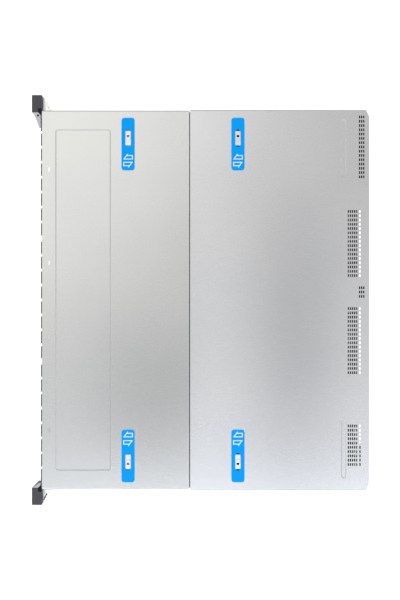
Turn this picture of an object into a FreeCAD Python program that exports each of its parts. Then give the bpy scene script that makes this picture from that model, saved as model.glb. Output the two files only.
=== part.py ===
import FreeCAD, Part
import math
import os

# Two-unit rack server: a steel tray, two lift-off covers, drive bay, fans, main board and power supplies.
# Millimetres. +Z is up, the front faces -Y, and the origin is under the middle of the whole server.

# Whole server
RACK_WIDTH = 482.6          # over both ears, the 19-inch standard
EAR_REACH = 17.3            # an ear stands this far out beside the rear cover
BODY_HEIGHT = 87.5          # two rack units less the play to the next server
EAR_DEPTH = 12.0            # the ears stand this far in front of the covers
SHEET = 1.2                 # zinc-coated steel of tray, panel and cages
COVER_SHEET = 1.0
GAP = 0.3                   # between pieces that come apart
TOUCH = 0.0                 # pieces that are screwed or glued face to face
CORNER_STEPS = 2            # sides in a rounded corner
END_STEPS = 4               # sides in a round end

# Covers
FRONT_COVER_DEPTH = 173.25
REAR_COVER_DEPTH = 210.75
SEAM = 1.0
COVER_STEP = 0.8            # the front cover is this much narrower on each side
COVER_PLAY = 0.4            # between the front cover's flange and the tray wall
FLANGE_DROP = 12.0
BEND = 1.6                  # outer radius of the folded edges
EMBOSS_DEPTH = 0.4
EMBOSS_SLOPE = 1.4          # width of the sloping sides of a pressed form
EMBOSS_CORNER = 3.0
PANEL_SIDE = 23.2           # embossed rectangle of the front cover to the side of the server
PANEL_START = 15.6
PANEL_LENGTH = 65.4
STUD_ROW = 8.5              # behind the front edge
STUD_PLACES = (43.6, 153.5)
STUD_LONG = 5.6
STUD_WIDE = 2.4
STUD_PROUD = 0.35
CORNER_CUT_X = 8.2          # rear corners of the rear cover
CORNER_CUT_Y = 3.8
BEAD_REAR = 33.2            # front of the beads to the rear edge
BEAD_WIDE = 6.2
BEAD_LONG = 69.0
BEAD_LEFT_SIDE = 11.2       # outer end of a bead to the side of the server
BEAD_RIGHT_SIDE = 13.8

# Vents of the rear cover: small slots in five patches, in columns counted back to the rear edge
VENT_LONG = 3.2
VENT_WIDE = 1.5
VENT_PITCH_X = 5.03
VENT_PITCH_Y = 2.45
SHORT_VENT_REAR = 11.4      # first column of the short patches to the rear edge
DEEP_VENT_REAR = 24.5       # first column of the deep patches to the rear edge
LAST_VENT_REAR = 10.9       # the column that stands alone behind the rear panel
SHORT_VENT_COLUMNS = 3
DEEP_VENT_COLUMNS = 5
CORNER_VENT_SIDE = 8.7      # first row of the left patch to the side of the server
CORNER_VENT_ROWS = 15
MIDDLE_VENT_X = -14.4
MIDDLE_VENT_ROWS = 3
LEFT_VENT_X = -104.2
RIGHT_VENT_X = 10.1
RISER_VENT_ROWS = 16
END_VENT_SIDE = 75.8        # first row of the right patch to the side of the server
END_VENT_ROWS = 10
END_VENT_OPEN_ROWS = 5      # rows of the right patch with no channel under them

# Cover latches and their labels
LATCH_SIDE = 33.5           # middle of the finger slot to the side of the server
LATCH_FRONT_Y = 101.3
LATCH_REAR_Y = 56.3         # behind the front edge of the rear cover
SLOT_LONG = 20.7
SLOT_WIDE = 6.4
LATCH_TRAVEL = 5.0
LATCH_SIDE_PLAY = 0.4
LATCH_PLATE = 1.2
LATCH_WIDE = 12.0
LATCH_TAIL = 14.0           # plate reaches this far inward of the slot's middle
LATCH_BITE = 0.8            # nose in the notch of the tray wall
LATCH_NOTCH_PLAY = 0.6
GRIP_OUTER_PLAY = 2.8       # end of the grip to the outer end of the slot
GRIP_INNER_PLAY = 2.4       # and to its inner end, with the latch drawn
GRIP_HOLE_LONG = 2.4
GRIP_HOLE_WIDE = 3.0
END_WINDOW = 1.8            # windows of the latch plate at the ends of the slot
GRIP_RECESS = 0.2           # grip stays below the top of the cover
KEEPER_SHEET = 1.0
KEEPER_LIP = 1.6
KEEPER_HALF = 15.0
LABEL_SIDE = 9.5            # outer end of a label to the side of the server
LABEL_LONG = 62.1
LABEL_LENGTH = 15.6
LABEL_SHEET = 0.2
LABEL_CORNER = 3.0

# Drive bay
BAY_GROUPS = 3
BAY_PITCH = 17.65
GROUP_GAP = 4.0
CARRIER_WIDTH = 14.4
CARRIER_HEIGHT = 78.0
BAY_BACK_ROOM = 40.65       # rear of the carriers to the seam of the covers
CARRIER_PROUD = 1.8
BEZEL_DEPTH = 13.2
DRIVE_THICK = 9.5
DRIVE_WIDTH = 69.85
DRIVE_LENGTH = 100.2
LEVER_DEEP = 3.4
LEVER_EDGE = 1.0            # thickness left at the finger scoop
LEVER_SCOOP = 9.0
LEVER_BUTTON_GAP = 0.8
LEVER_BUTTON = 9.0
CAGE_SHEET = 1.0
CAGE_PLAY = 1.2             # between cage and tray wall
CAGE_START = 1.0            # behind the front edge of the covers
DIVIDER = 2.0
RIB_WIDE = 2.0
RIB_HIGH = 3.0
BACKPLANE = 2.4
CONNECTOR_LONG = 42.0
CONNECTOR_WIDE = 6.5
CONNECTOR_DEEP = 6.0
MATE_GAP = 0.5

# Fans
FAN_COUNT = 3
FAN_SIZE = 80.0
FAN_DEPTH = 38.0
FAN_PITCH = 140.0
FAN_WALL_ROOM = 23.25       # fan wall in front of the seam
FAN_BORE = 38.0
FAN_CORNER = 22.0           # rounded corners of the openings in the fan wall
FAN_CORNER_STEPS = 4
FAN_HUB = 19.0
BLADE_TIP_GAP = 1.5
BLADE_COUNT = 7
HUB_SIDES = 3 * BLADE_COUNT
DUCT_SIDES = 32
SHAFT_SIDES = 12
BLADE_SHEET = 1.6
BLADE_CHORD_ROOT = 20.0
BLADE_CHORD_TIP = 24.0
BLADE_PITCH_ROOT = 48.0     # degrees to the plane of rotation
BLADE_PITCH_TIP = 30.0
HUB_DEPTH = 26.0
HUB_RECESS = 2.0            # hub face behind the front of the frame
STRUT_WIDE = 4.0
STRUT_DEEP = 4.0
SHAFT = 2.0
SHAFT_PLAY = 0.1
SHAFT_LENGTH = 6.0
FAN_FOOT = 1.3              # between tray floor and fan frame
BRACE_DEEP = 16.0           # channel along the top of the fan wall, towards the drives
BRACE_DROP = 3.0

# Main board
BOARD_SIDE = 7.1            # between the board and a power supply bay
BOARD_FRONT_ROOM = 6.8      # behind the fans
BOARD_REAR_ROOM = 6.8       # in front of the rear panel
BOARD_SHEET = 1.8
STANDOFF_HIGH = 5.0
STANDOFF_FLAT = 5.0         # across flats
STANDOFF_INSET = 8.0
STANDOFF_COLUMNS = 4
STANDOFF_ROWS = 2
SINK_X = 67.0
SINK_WIDTH = 70.0
SINK_LENGTH = 88.0
SINK_START = 10.0           # behind the front edge of the board
SINK_HIGH = 62.0
SINK_BASE = 6.0
SINK_SOCKET = 5.0           # processor and socket under the base
SINK_FINS = 9
FIN_SHEET = 1.0
DIMM_LENGTH = 133.35
DIMM_HIGH = 31.25
DIMM_SHEET = 1.4
DIMM_PITCH = 7.4
DIMM_START = 4.0            # behind the front edge of the board
DIMM_INNER_PAIRS = 4
DIMM_SOCKET_HIGH = 8.0
DIMM_SOCKET_WIDE = 6.0
DIMM_SEAT = 4.0             # module edge above the board
DIMM_PLAY = 0.1             # between module and socket slot
DUCT_SHEET = 1.5
DUCT_SIDE = 2.5             # inside the edge of the board
DUCT_OVERHANG = 4.0         # in front of the board
DUCT_LENGTH = 106.0
DUCT_TOP = 80.5
DUCT_WINDOW_HALF = 26.0     # cut-out over the middle memory modules

# Rear panel, risers and ports
PANEL_RECESS = 13.0         # panel in front of the rear edge of the cover
TRAY_END_PLAY = 2.0         # tray ends this far before the cover
PANEL_TOP_PLAY = 1.0
TROUGH_DEEP = 9.5           # closed channel behind the panel, under some of the vents
TROUGH_DROP = 15.0
TROUGH_END_PLAY = 0.8       # last vent of a patch to the inner end of its channel
RISER_INNER = 12.0
RISER_SIDE = 8.0            # outer plate to the edge of the board
RISER_BOTTOM = 46.0
RISER_TOP = 83.0
RISER_LENGTH = 66.0
RISER_CARD = 1.6
RISER_SOCKET_WIDE = 8.0
RISER_SOCKET_DEEP = 11.0
CARD_PITCH = 18.5
SLOT_END = 6.0              # between a card slot and the plates of its riser
SLOT_OPEN_HIGH = 12.0
SLOT_COVER_HIGH = 16.5
SLOT_TAB = 9.0
SIDE_VENT_COUNT = 5
SIDE_VENT_WIDE = 6.0
SIDE_VENT_HIGH = 20.0
SIDE_VENT_PITCH = 13.0
PORT_DEPTH = 18.0
PORT_WALL = 1.2
PORT_FLOAT = 0.2            # ports stand this far clear of the cut-outs
RJ_WIDE = 15.9
RJ_HIGH = 13.4
RJ_FIRST = 18.0             # middle of the first network socket to the edge of the board
RJ_PITCH = 22.0
RJ_COUNT = 3
USB_WIDE = 14.4
USB_HIGH = 7.2
USB_FIRST = 24.0            # behind the last network socket
USB_PITCH = 20.0
USB_COUNT = 2
DSUB_WIDE = 30.8
DSUB_HIGH = 12.5
DSUB_FIRST = 38.0
DSUB_PITCH = 50.0
DSUB_COUNT = 2
DSUB_SHELL = 17.0
DSUB_SHELL_HIGH = 8.4
DSUB_SHELL_DEEP = 5.5

# Power supplies
PSU_WIDTH = 73.5
PSU_HEIGHT = 40.0
PSU_FRONT_ROOM = 10.0       # between fans and power supplies
PSU_PLAY = 0.5
PSU_BAY_SHEET = 1.0
INLET_WIDE = 27.0
INLET_HIGH = 20.0
INLET_DEPTH = 15.0
INLET_EDGE = 5.0            # from the inner side of the power supply
PIN_WIDE = 2.0
PIN_HIGH = 4.0
PIN_LONG = 11.0
PIN_SPACE = 7.0
PIN_DROP = 3.0
HANDLE_EDGE = 37.0          # inner side of the power supply to the handle's middle
HANDLE_WIDE = 5.0
HANDLE_BAR = 3.5
HANDLE_REACH = 12.0
HANDLE_HIGH = 32.0
GRILLE_EDGE = 42.0
GRILLE_WIDE = 21.0
GRILLE_HIGH = 3.0
GRILLE_DEPTH = 3.0
GRILLE_COUNT = 6
GRILLE_PITCH = 5.6
PSU_LATCH_WIDE = 3.0
PSU_LATCH_HIGH = 22.0
PSU_LATCH_REACH = 9.0
PSU_LATCH_STEM = 5.0
PSU_LATCH_TRAVEL = 3.0
PSU_LATCH_EDGE = 70.6       # inner side of the power supply to the latch's outer face

# Ears, brackets and buttons
EAR_LAP = 1.0               # ear in front of the tray wall
EAR_BOTTOM = 0.6
EAR_TOP = 87.0
EAR_ROUND = 0.8
RACK_HOLE_EDGE = 8.75       # gives 465.1 between the slots
RACK_HOLE_SPACE = 76.2
RACK_SLOT_LONG = 10.3
RACK_SLOT_WIDE = 7.0
TRIM_THICK = 4.4
TRIM_OUTER_Y = 10.4         # in front of the covers, at the ear
TRIM_INNER_Y = 3.2          # at the tip
TRIM_BACK_Y = 1.8
TRIM_LEFT_REACH = 18.0
TRIM_RIGHT_REACH = 5.0
BRACKET_SHEET = 1.6
BRACKET_DEPTH = 9.0
BRACKET_EDGE = 1.8          # inside the outer face of the ear
BRACKET_BOTTOM = 18.0
BRACKET_TOP = 70.0
BUTTON_WIDE = 8.0
BUTTON_HIGH = 6.0
BUTTON_EDGE = 10.3          # middle of the button to the outer face of the ear
BUTTON_Z = 58.0
BUTTON_INSET = 0.3
BUTTON_LENGTH = 7.0
BUTTON_TRAVEL = 1.5
RAIL_HOLE_R = 2.3
RAIL_HOLE_Z = 62.0
RAIL_HOLE_Y = 40.5          # behind the front edge of the rear cover
RAIL_HOLE_SPACE = 130.0

# Places worked out from the sizes above
BODY_WIDTH = RACK_WIDTH - 2 * EAR_REACH
BODY_DEPTH = FRONT_COVER_DEPTH + SEAM + REAR_COVER_DEPTH
SIDE = BODY_WIDTH / 2
FRONT = EAR_DEPTH - (BODY_DEPTH + EAR_DEPTH) / 2
REAR = FRONT + BODY_DEPTH
COVER_TOP = BODY_HEIGHT
COVER_UNDER = COVER_TOP - COVER_SHEET
WALL_TOP = COVER_UNDER - GAP
WALL_OUT = SIDE - COVER_STEP - COVER_SHEET - COVER_PLAY
WALL_IN = WALL_OUT - SHEET
SEAM_Y = FRONT + FRONT_COVER_DEPTH
REAR_COVER_Y = SEAM_Y + SEAM
TRAY_REAR = REAR - TRAY_END_PLAY
PANEL_Y = REAR - PANEL_RECESS - SHEET
PANEL_BACK = PANEL_Y + SHEET
FRONT_LATCH = FRONT + LATCH_FRONT_Y
REAR_LATCH = REAR_COVER_Y + LATCH_REAR_Y
LATCH_X = SIDE - LATCH_SIDE
LATCH_TOP = COVER_UNDER - GAP
LATCH_BOTTOM = LATCH_TOP - LATCH_PLATE
LABEL_OUTER = SIDE - LABEL_SIDE
LABEL_INNER = LABEL_OUTER - LABEL_LONG
CORNER_VENT_X = CORNER_VENT_SIDE - SIDE
END_VENT_X = SIDE - END_VENT_SIDE
CAGE_HALF = WALL_IN - CAGE_PLAY
CAGE_FLOOR = SHEET + CAGE_SHEET
CARRIER_LENGTH = FRONT_COVER_DEPTH - BAY_BACK_ROOM
CARRIER_BOTTOM = CAGE_FLOOR + GAP
CARRIER_TOP = CARRIER_BOTTOM + CARRIER_HEIGHT
CAGE_CEILING = CARRIER_TOP + GAP
CAGE_TOP = CAGE_CEILING + CAGE_SHEET
CARRIER_FRONT = FRONT - CARRIER_PROUD
CARRIER_REAR = CARRIER_FRONT + CARRIER_LENGTH
BACKPLANE_Y = CARRIER_REAR + MATE_GAP + CONNECTOR_DEEP
BAY_ROOM = 2 * (CAGE_HALF - CAGE_SHEET) - (BAY_GROUPS - 1) * GROUP_GAP
BAYS_IN_GROUP = int(BAY_ROOM / BAY_PITCH / BAY_GROUPS)
GROUP_PITCH = BAYS_IN_GROUP * BAY_PITCH + GROUP_GAP
FAN_WALL = SEAM_Y - FAN_WALL_ROOM
FAN_FRONT = FAN_WALL + SHEET
FAN_REAR = FAN_FRONT + FAN_DEPTH
FAN_BOTTOM = SHEET + FAN_FOOT
FAN_Z = FAN_BOTTOM + FAN_SIZE / 2
PSU_OUTER = WALL_IN - PSU_PLAY
PSU_INNER = PSU_OUTER - PSU_WIDTH
PSU_BOTTOM = SHEET + GAP
PSU_TOP = PSU_BOTTOM + PSU_HEIGHT
PSU_REAR = PANEL_BACK
PSU_FRONT = FAN_REAR + PSU_FRONT_ROOM
BOARD_HALF = PSU_INNER - PSU_PLAY - PSU_BAY_SHEET - BOARD_SIDE
BOARD_Y = FAN_REAR + BOARD_FRONT_ROOM
BOARD_END = PANEL_Y - BOARD_REAR_ROOM
BOARD_LENGTH = BOARD_END - BOARD_Y
BOARD_BOTTOM = SHEET + STANDOFF_HIGH
BOARD_TOP = BOARD_BOTTOM + BOARD_SHEET
DIMM_Y = BOARD_Y + DIMM_START
RISER_WIDTH = BOARD_HALF - RISER_INNER - RISER_SIDE
SLOT_OPEN_LONG = RISER_WIDTH - 2 * SLOT_END
RJ_PLACES = [RJ_FIRST - BOARD_HALF + step * RJ_PITCH for step in range(RJ_COUNT)]
USB_PLACES = [RJ_PLACES[-1] + USB_FIRST + step * USB_PITCH for step in range(USB_COUNT)]
DSUB_PLACES = [DSUB_FIRST + step * DSUB_PITCH for step in range(DSUB_COUNT)]
EAR_INNER = WALL_OUT - EAR_LAP
EAR_OUTER = RACK_WIDTH / 2
EAR_FRONT = FRONT - EAR_DEPTH
RACK_HOLE_X = EAR_OUTER - RACK_HOLE_EDGE
RACK_HOLE_Z = (EAR_BOTTOM + EAR_TOP) / 2
BRACKET_OUTER = EAR_OUTER - BRACKET_EDGE
BUTTON_X = EAR_OUTER - BUTTON_EDGE


def vec(x, y, z):
    return FreeCAD.Vector(x, y, z)


def box(x0, x1, y0, y1, z0, z1):
    """A block between two corners, given in any order along X."""
    low = min(x0, x1)
    return Part.makeBox(abs(x1 - x0), y1 - y0, z1 - z0, vec(low, y0, z0))


def rod_y(x, y0, y1, z, r):
    return Part.makeCylinder(r, y1 - y0, vec(x, y0, z), vec(0, 1, 0))


def rod_x(x0, x1, y, z, r):
    return Part.makeCylinder(r, x1 - x0, vec(x0, y, z), vec(1, 0, 0))


def prism(points, direction):
    """A closed outline of corner points, pushed along a vector."""
    outline = Part.makePolygon(points + points[:1])
    return Part.Face(outline).extrude(direction)


def rounded_outline(x0, x1, y0, y1, z, corner, steps=CORNER_STEPS):
    """A rectangle in plan whose corners are quarter turns of a few short sides."""
    left, right = sorted((x0, x1))
    outline = []
    for quarter, (x, y) in enumerate(((right - corner, y1 - corner), (left + corner, y1 - corner),
                                      (left + corner, y0 + corner), (right - corner, y0 + corner))):
        for step in range(steps + 1):
            turn = math.pi / 2 * (quarter + step / steps)
            outline.append(vec(x + corner * math.cos(turn), y + corner * math.sin(turn), z))
    return outline


def rounded_plate(x0, x1, y0, y1, z0, z1, corner, steps=CORNER_STEPS):
    return prism(rounded_outline(x0, x1, y0, y1, z0, corner, steps), vec(0, 0, z1 - z0))


def round_end_outline(x, y, long_x, wide_y, z):
    """A bar in plan whose two ends are half turns of a few short sides."""
    r = wide_y / 2
    half = long_x / 2 - r
    outline = []
    for middle, start in ((x + half, -0.5), (x - half, 0.5)):
        for step in range(END_STEPS + 1):
            turn = math.pi * (start + step / END_STEPS)
            outline.append(vec(middle + r * math.cos(turn), y + r * math.sin(turn), z))
    return outline


def round_end_plate(x, y, long_x, wide_y, z0, z1):
    return prism(round_end_outline(x, y, long_x, wide_y, z0), vec(0, 0, z1 - z0))


def tapered_block(low, high):
    """A block with sloping sides between two outlines that have the same number of corners."""
    faces = [Part.Face(Part.makePolygon(low + low[:1])), Part.Face(Part.makePolygon(high + high[:1]))]
    for step in range(len(low)):
        after = (step + 1) % len(low)
        faces.append(Part.Face(Part.makePolygon([low[step], low[after], high[after], high[step], low[step]])))
    solid = Part.makeSolid(Part.makeShell(faces))
    if solid.Volume < 0:
        solid.reverse()
    return solid


def polygon_rod_y(x, y0, y1, z, r, sides):
    """A many-sided rod along Y with its corners on radius r."""
    turns = [2 * math.pi * side / sides for side in range(sides)]
    outline = [vec(x + r * math.sin(a), y0, z + r * math.cos(a)) for a in turns]
    return prism(outline, vec(0, y1 - y0, 0))


def obround(x, y, long_x, wide_y, z0, z1):
    """A slot shape along X with round ends."""
    r = wide_y / 2
    half = long_x / 2 - r
    a = vec(x - half, y - r, z0)
    b = vec(x + half, y - r, z0)
    c = vec(x + half, y + r, z0)
    d = vec(x - half, y + r, z0)
    edges = [Part.makeLine(a, b),
             Part.Arc(b, vec(x + half + r, y, z0), c).toShape(),
             Part.makeLine(c, d),
             Part.Arc(d, vec(x - half - r, y, z0), a).toShape()]
    return Part.Face(Part.Wire(edges)).extrude(vec(0, 0, z1 - z0))


def join(solids):
    """Weld solids into one and drop the seams between flush faces."""
    return solids[0].fuse(solids[1:]).removeSplitter()


def save(node, *solids):
    shape = solids[0]
    if len(solids) > 1:
        shape = Part.makeCompound(list(solids))
    shape.exportStep("parts/" + node + ".step")


def folded_cover(half, y0, y1):
    """A top sheet with two side flanges and rounded folds, drawn across and pushed back."""
    inner = half - COVER_SHEET
    low = COVER_TOP - FLANGE_DROP
    fold = BEND * (1 - math.sqrt(0.5))
    edges = [
        Part.makeLine(vec(-half, y0, low), vec(-half, y0, COVER_TOP - BEND)),
        Part.Arc(vec(-half, y0, COVER_TOP - BEND), vec(-half + fold, y0, COVER_TOP - fold),
                 vec(-half + BEND, y0, COVER_TOP)).toShape(),
        Part.makeLine(vec(-half + BEND, y0, COVER_TOP), vec(half - BEND, y0, COVER_TOP)),
        Part.Arc(vec(half - BEND, y0, COVER_TOP), vec(half - fold, y0, COVER_TOP - fold),
                 vec(half, y0, COVER_TOP - BEND)).toShape(),
        Part.makeLine(vec(half, y0, COVER_TOP - BEND), vec(half, y0, low)),
        Part.makeLine(vec(half, y0, low), vec(inner, y0, low)),
        Part.makeLine(vec(inner, y0, low), vec(inner, y0, COVER_UNDER)),
        Part.makeLine(vec(inner, y0, COVER_UNDER), vec(-inner, y0, COVER_UNDER)),
        Part.makeLine(vec(-inner, y0, COVER_UNDER), vec(-inner, y0, low)),
        Part.makeLine(vec(-inner, y0, low), vec(-half, y0, low)),
    ]
    return Part.Face(Part.Wire(edges)).extrude(vec(0, y1 - y0, 0))


def latch_keepers(side, y):
    """Two folded strips under a cover that carry one latch plate."""
    keepers = []
    x0 = side * (LATCH_X - KEEPER_HALF)
    x1 = side * (LATCH_X + KEEPER_HALF)
    inner = LATCH_WIDE / 2 + LATCH_SIDE_PLAY
    low = LATCH_BOTTOM - GAP - KEEPER_SHEET
    for way in (-1, 1):
        wall = sorted((y + way * inner, y + way * (inner + KEEPER_SHEET)))
        lip = sorted((y + way * (inner - KEEPER_LIP), y + way * (inner + KEEPER_SHEET)))
        keepers.append(box(x0, x1, wall[0], wall[1], low, COVER_UNDER))
        keepers.append(box(x0, x1, lip[0], lip[1], low, low + KEEPER_SHEET))
    return keepers


def latch_slots(y):
    return [round_end_plate(side * LATCH_X, y, SLOT_LONG, SLOT_WIDE, COVER_UNDER, COVER_TOP)
            for side in (-1, 1)]


def make_front_cover():
    latch_y = FRONT_LATCH
    panel_half = SIDE - PANEL_SIDE
    cover = folded_cover(SIDE - COVER_STEP, FRONT, SEAM_Y)
    y0 = FRONT + PANEL_START
    y1 = y0 + PANEL_LENGTH
    forms = []
    for top in (COVER_TOP, COVER_UNDER):
        low = rounded_outline(EMBOSS_SLOPE - panel_half, panel_half - EMBOSS_SLOPE, y0 + EMBOSS_SLOPE,
                              y1 - EMBOSS_SLOPE, top - EMBOSS_DEPTH, EMBOSS_CORNER - EMBOSS_SLOPE)
        forms.append(tapered_block(low, rounded_outline(-panel_half, panel_half, y0, y1, top, EMBOSS_CORNER)))
    sunk, pressed = forms
    keepers = latch_keepers(-1, latch_y) + latch_keepers(1, latch_y)
    cover = join([cover, pressed] + keepers)
    save("front_cover", cover.cut([sunk] + latch_slots(latch_y)))


def make_front_cover_studs():
    """Four long rivet heads in the row behind the front edge."""
    studs = []
    y = FRONT + STUD_ROW
    for place in STUD_PLACES:
        for x in (-place, place):
            studs.append(round_end_plate(x, y, STUD_LONG, STUD_WIDE, COVER_TOP, COVER_TOP + STUD_PROUD))
    save("front_cover_studs", *studs)


def vent_holes(first_x, rows, first_y, columns):
    """One patch of small upright slots in the rear cover."""
    holes = []
    for row in range(rows):
        x = first_x + row * VENT_PITCH_X
        for column in range(columns):
            y = first_y + column * VENT_PITCH_Y
            holes.append(box(x - VENT_LONG / 2, x + VENT_LONG / 2, y - VENT_WIDE / 2, y + VENT_WIDE / 2,
                             COVER_UNDER, COVER_TOP))
    return holes


def make_rear_cover():
    latch_y = REAR_LATCH
    cover = folded_cover(SIDE, REAR_COVER_Y, REAR)
    cover = join([cover] + latch_keepers(-1, latch_y) + latch_keepers(1, latch_y))
    cuts = latch_slots(latch_y)
    for side in (-1, 1):
        corner = [vec(side * SIDE, REAR - CORNER_CUT_Y, 0), vec(side * SIDE, REAR, 0),
                  vec(side * (SIDE - CORNER_CUT_X), REAR, 0)]
        cuts.append(prism(corner, vec(0, 0, COVER_TOP)))
    bead_y = REAR - BEAD_REAR
    left_bead = BEAD_LEFT_SIDE - SIDE
    right_bead = SIDE - BEAD_RIGHT_SIDE - BEAD_LONG
    for x in (left_bead, right_bead):
        middle = (x + BEAD_LONG / 2, bead_y + BEAD_WIDE / 2)
        low = round_end_outline(*middle, BEAD_LONG - 2 * EMBOSS_SLOPE, BEAD_WIDE - 2 * EMBOSS_SLOPE,
                                COVER_TOP - EMBOSS_DEPTH)
        cuts.append(tapered_block(low, round_end_outline(*middle, BEAD_LONG, BEAD_WIDE, COVER_TOP)))
    for first_x, rows in ((CORNER_VENT_X, CORNER_VENT_ROWS), (MIDDLE_VENT_X, MIDDLE_VENT_ROWS)):
        cuts += vent_holes(first_x, rows, REAR - SHORT_VENT_REAR, SHORT_VENT_COLUMNS)
    for first_x, rows in ((LEFT_VENT_X, RISER_VENT_ROWS), (RIGHT_VENT_X, RISER_VENT_ROWS),
                          (END_VENT_X, END_VENT_ROWS)):
        cuts += vent_holes(first_x, rows, REAR - DEEP_VENT_REAR, DEEP_VENT_COLUMNS)
        cuts += vent_holes(first_x, rows, REAR - LAST_VENT_REAR, 1)
    save("rear_cover", cover.cut(cuts))


def make_labels(node, latch_y):
    """Two printed plates on a cover, each round a latch slot."""
    labels = []
    for side in (-1, 1):
        plate = rounded_plate(side * LABEL_INNER, side * LABEL_OUTER, latch_y - LABEL_LENGTH / 2,
                              latch_y + LABEL_LENGTH / 2, COVER_TOP, COVER_TOP + LABEL_SHEET, LABEL_CORNER)
        slot = round_end_plate(side * LATCH_X, latch_y, SLOT_LONG, SLOT_WIDE, COVER_TOP,
                               COVER_TOP + LABEL_SHEET)
        labels.append(plate.cut(slot))
    save(node, *labels)


def make_latch_slider(node, side, y):
    """A flat plate under the cover, its nose in the wall and its grip in the finger slot."""
    half = LATCH_WIDE / 2
    plate = box(side * (LATCH_X - LATCH_TAIL), side * (WALL_IN + LATCH_BITE), y - half, y + half,
                LATCH_BOTTOM, LATCH_TOP)
    slot_end = LATCH_X + SLOT_LONG / 2
    grip_long = SLOT_LONG - LATCH_TRAVEL - GRIP_OUTER_PLAY - GRIP_INNER_PLAY
    grip_x = side * (slot_end - GRIP_OUTER_PLAY - grip_long / 2)
    grip_wide = SLOT_WIDE - 2 * LATCH_SIDE_PLAY
    grip = round_end_plate(grip_x, y, grip_long, grip_wide, LATCH_TOP, COVER_TOP - GRIP_RECESS)
    cuts = [box(grip_x - GRIP_HOLE_LONG / 2, grip_x + GRIP_HOLE_LONG / 2, y - GRIP_HOLE_WIDE / 2,
                y + GRIP_HOLE_WIDE / 2, LATCH_BOTTOM, COVER_TOP)]
    for end in (slot_end, slot_end - SLOT_LONG + END_WINDOW):
        cuts.append(box(side * (end - END_WINDOW), side * end, y - grip_wide / 2, y + grip_wide / 2,
                        LATCH_BOTTOM, LATCH_TOP))
    save(node, join([plate, grip]).cut(cuts))


def make_chassis_tray():
    """Floor and two side walls folded from one sheet. The floor ends at the rear panel, the walls go on.
    The walls have notches for the latches and holes for the rail screws."""
    outline = [vec(-WALL_OUT, FRONT, 0), vec(WALL_OUT, FRONT, 0), vec(WALL_OUT, FRONT, WALL_TOP),
               vec(WALL_IN, FRONT, WALL_TOP), vec(WALL_IN, FRONT, SHEET), vec(-WALL_IN, FRONT, SHEET),
               vec(-WALL_IN, FRONT, WALL_TOP), vec(-WALL_OUT, FRONT, WALL_TOP)]
    tray = prism(outline, vec(0, TRAY_REAR - FRONT, 0))
    cuts = [box(-WALL_IN, WALL_IN, PANEL_BACK, TRAY_REAR, 0, SHEET)]
    half = LATCH_WIDE / 2 + LATCH_NOTCH_PLAY
    for latch_y in (FRONT_LATCH, REAR_LATCH):
        for side in (-1, 1):
            cuts.append(box(side * WALL_IN, side * WALL_OUT, latch_y - half, latch_y + half,
                            LATCH_BOTTOM - LATCH_NOTCH_PLAY, WALL_TOP))
    for step in (0, 1):
        y = REAR_COVER_Y + RAIL_HOLE_Y + step * RAIL_HOLE_SPACE
        cuts.append(rod_x(-WALL_OUT, -WALL_IN, y, RAIL_HOLE_Z, RAIL_HOLE_R))
        cuts.append(rod_x(WALL_IN, WALL_OUT, y, RAIL_HOLE_Z, RAIL_HOLE_R))
    save("chassis_tray", tray.cut(cuts))


def bay_places():
    """Middle of every drive bay along X, from the left."""
    places = []
    for group in range(BAY_GROUPS):
        middle = (group - (BAY_GROUPS - 1) / 2) * GROUP_PITCH
        for bay in range(BAYS_IN_GROUP):
            places.append(middle + (bay - (BAYS_IN_GROUP - 1) / 2) * BAY_PITCH)
    return places


def make_drive_cage():
    """An open box of sheet with two dividers and low guide ribs between the bays."""
    y0 = FRONT + CAGE_START
    y1 = BACKPLANE_Y
    pieces = [box(-CAGE_HALF, CAGE_HALF, y0, y1, SHEET, CAGE_FLOOR),
              box(-CAGE_HALF, CAGE_HALF, y0, y1, CAGE_CEILING, CAGE_TOP)]
    for side in (-1, 1):
        pieces.append(box(side * (CAGE_HALF - CAGE_SHEET), side * CAGE_HALF, y0, y1, SHEET, CAGE_TOP))
    for step in range(BAY_GROUPS - 1):
        x = (step - (BAY_GROUPS - 2) / 2) * GROUP_PITCH
        pieces.append(box(x - DIVIDER / 2, x + DIVIDER / 2, y0, y1, SHEET, CAGE_TOP))
    bays = bay_places()
    for index, place in enumerate(bays[:-1]):
        if (index + 1) % BAYS_IN_GROUP == 0:
            continue
        x = place + BAY_PITCH / 2
        ends = (x - RIB_WIDE / 2, x + RIB_WIDE / 2, y0 + BEZEL_DEPTH, y1)
        pieces.append(box(*ends, CAGE_FLOOR, CAGE_FLOOR + RIB_HIGH))
    save("drive_cage", join(pieces))


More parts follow.
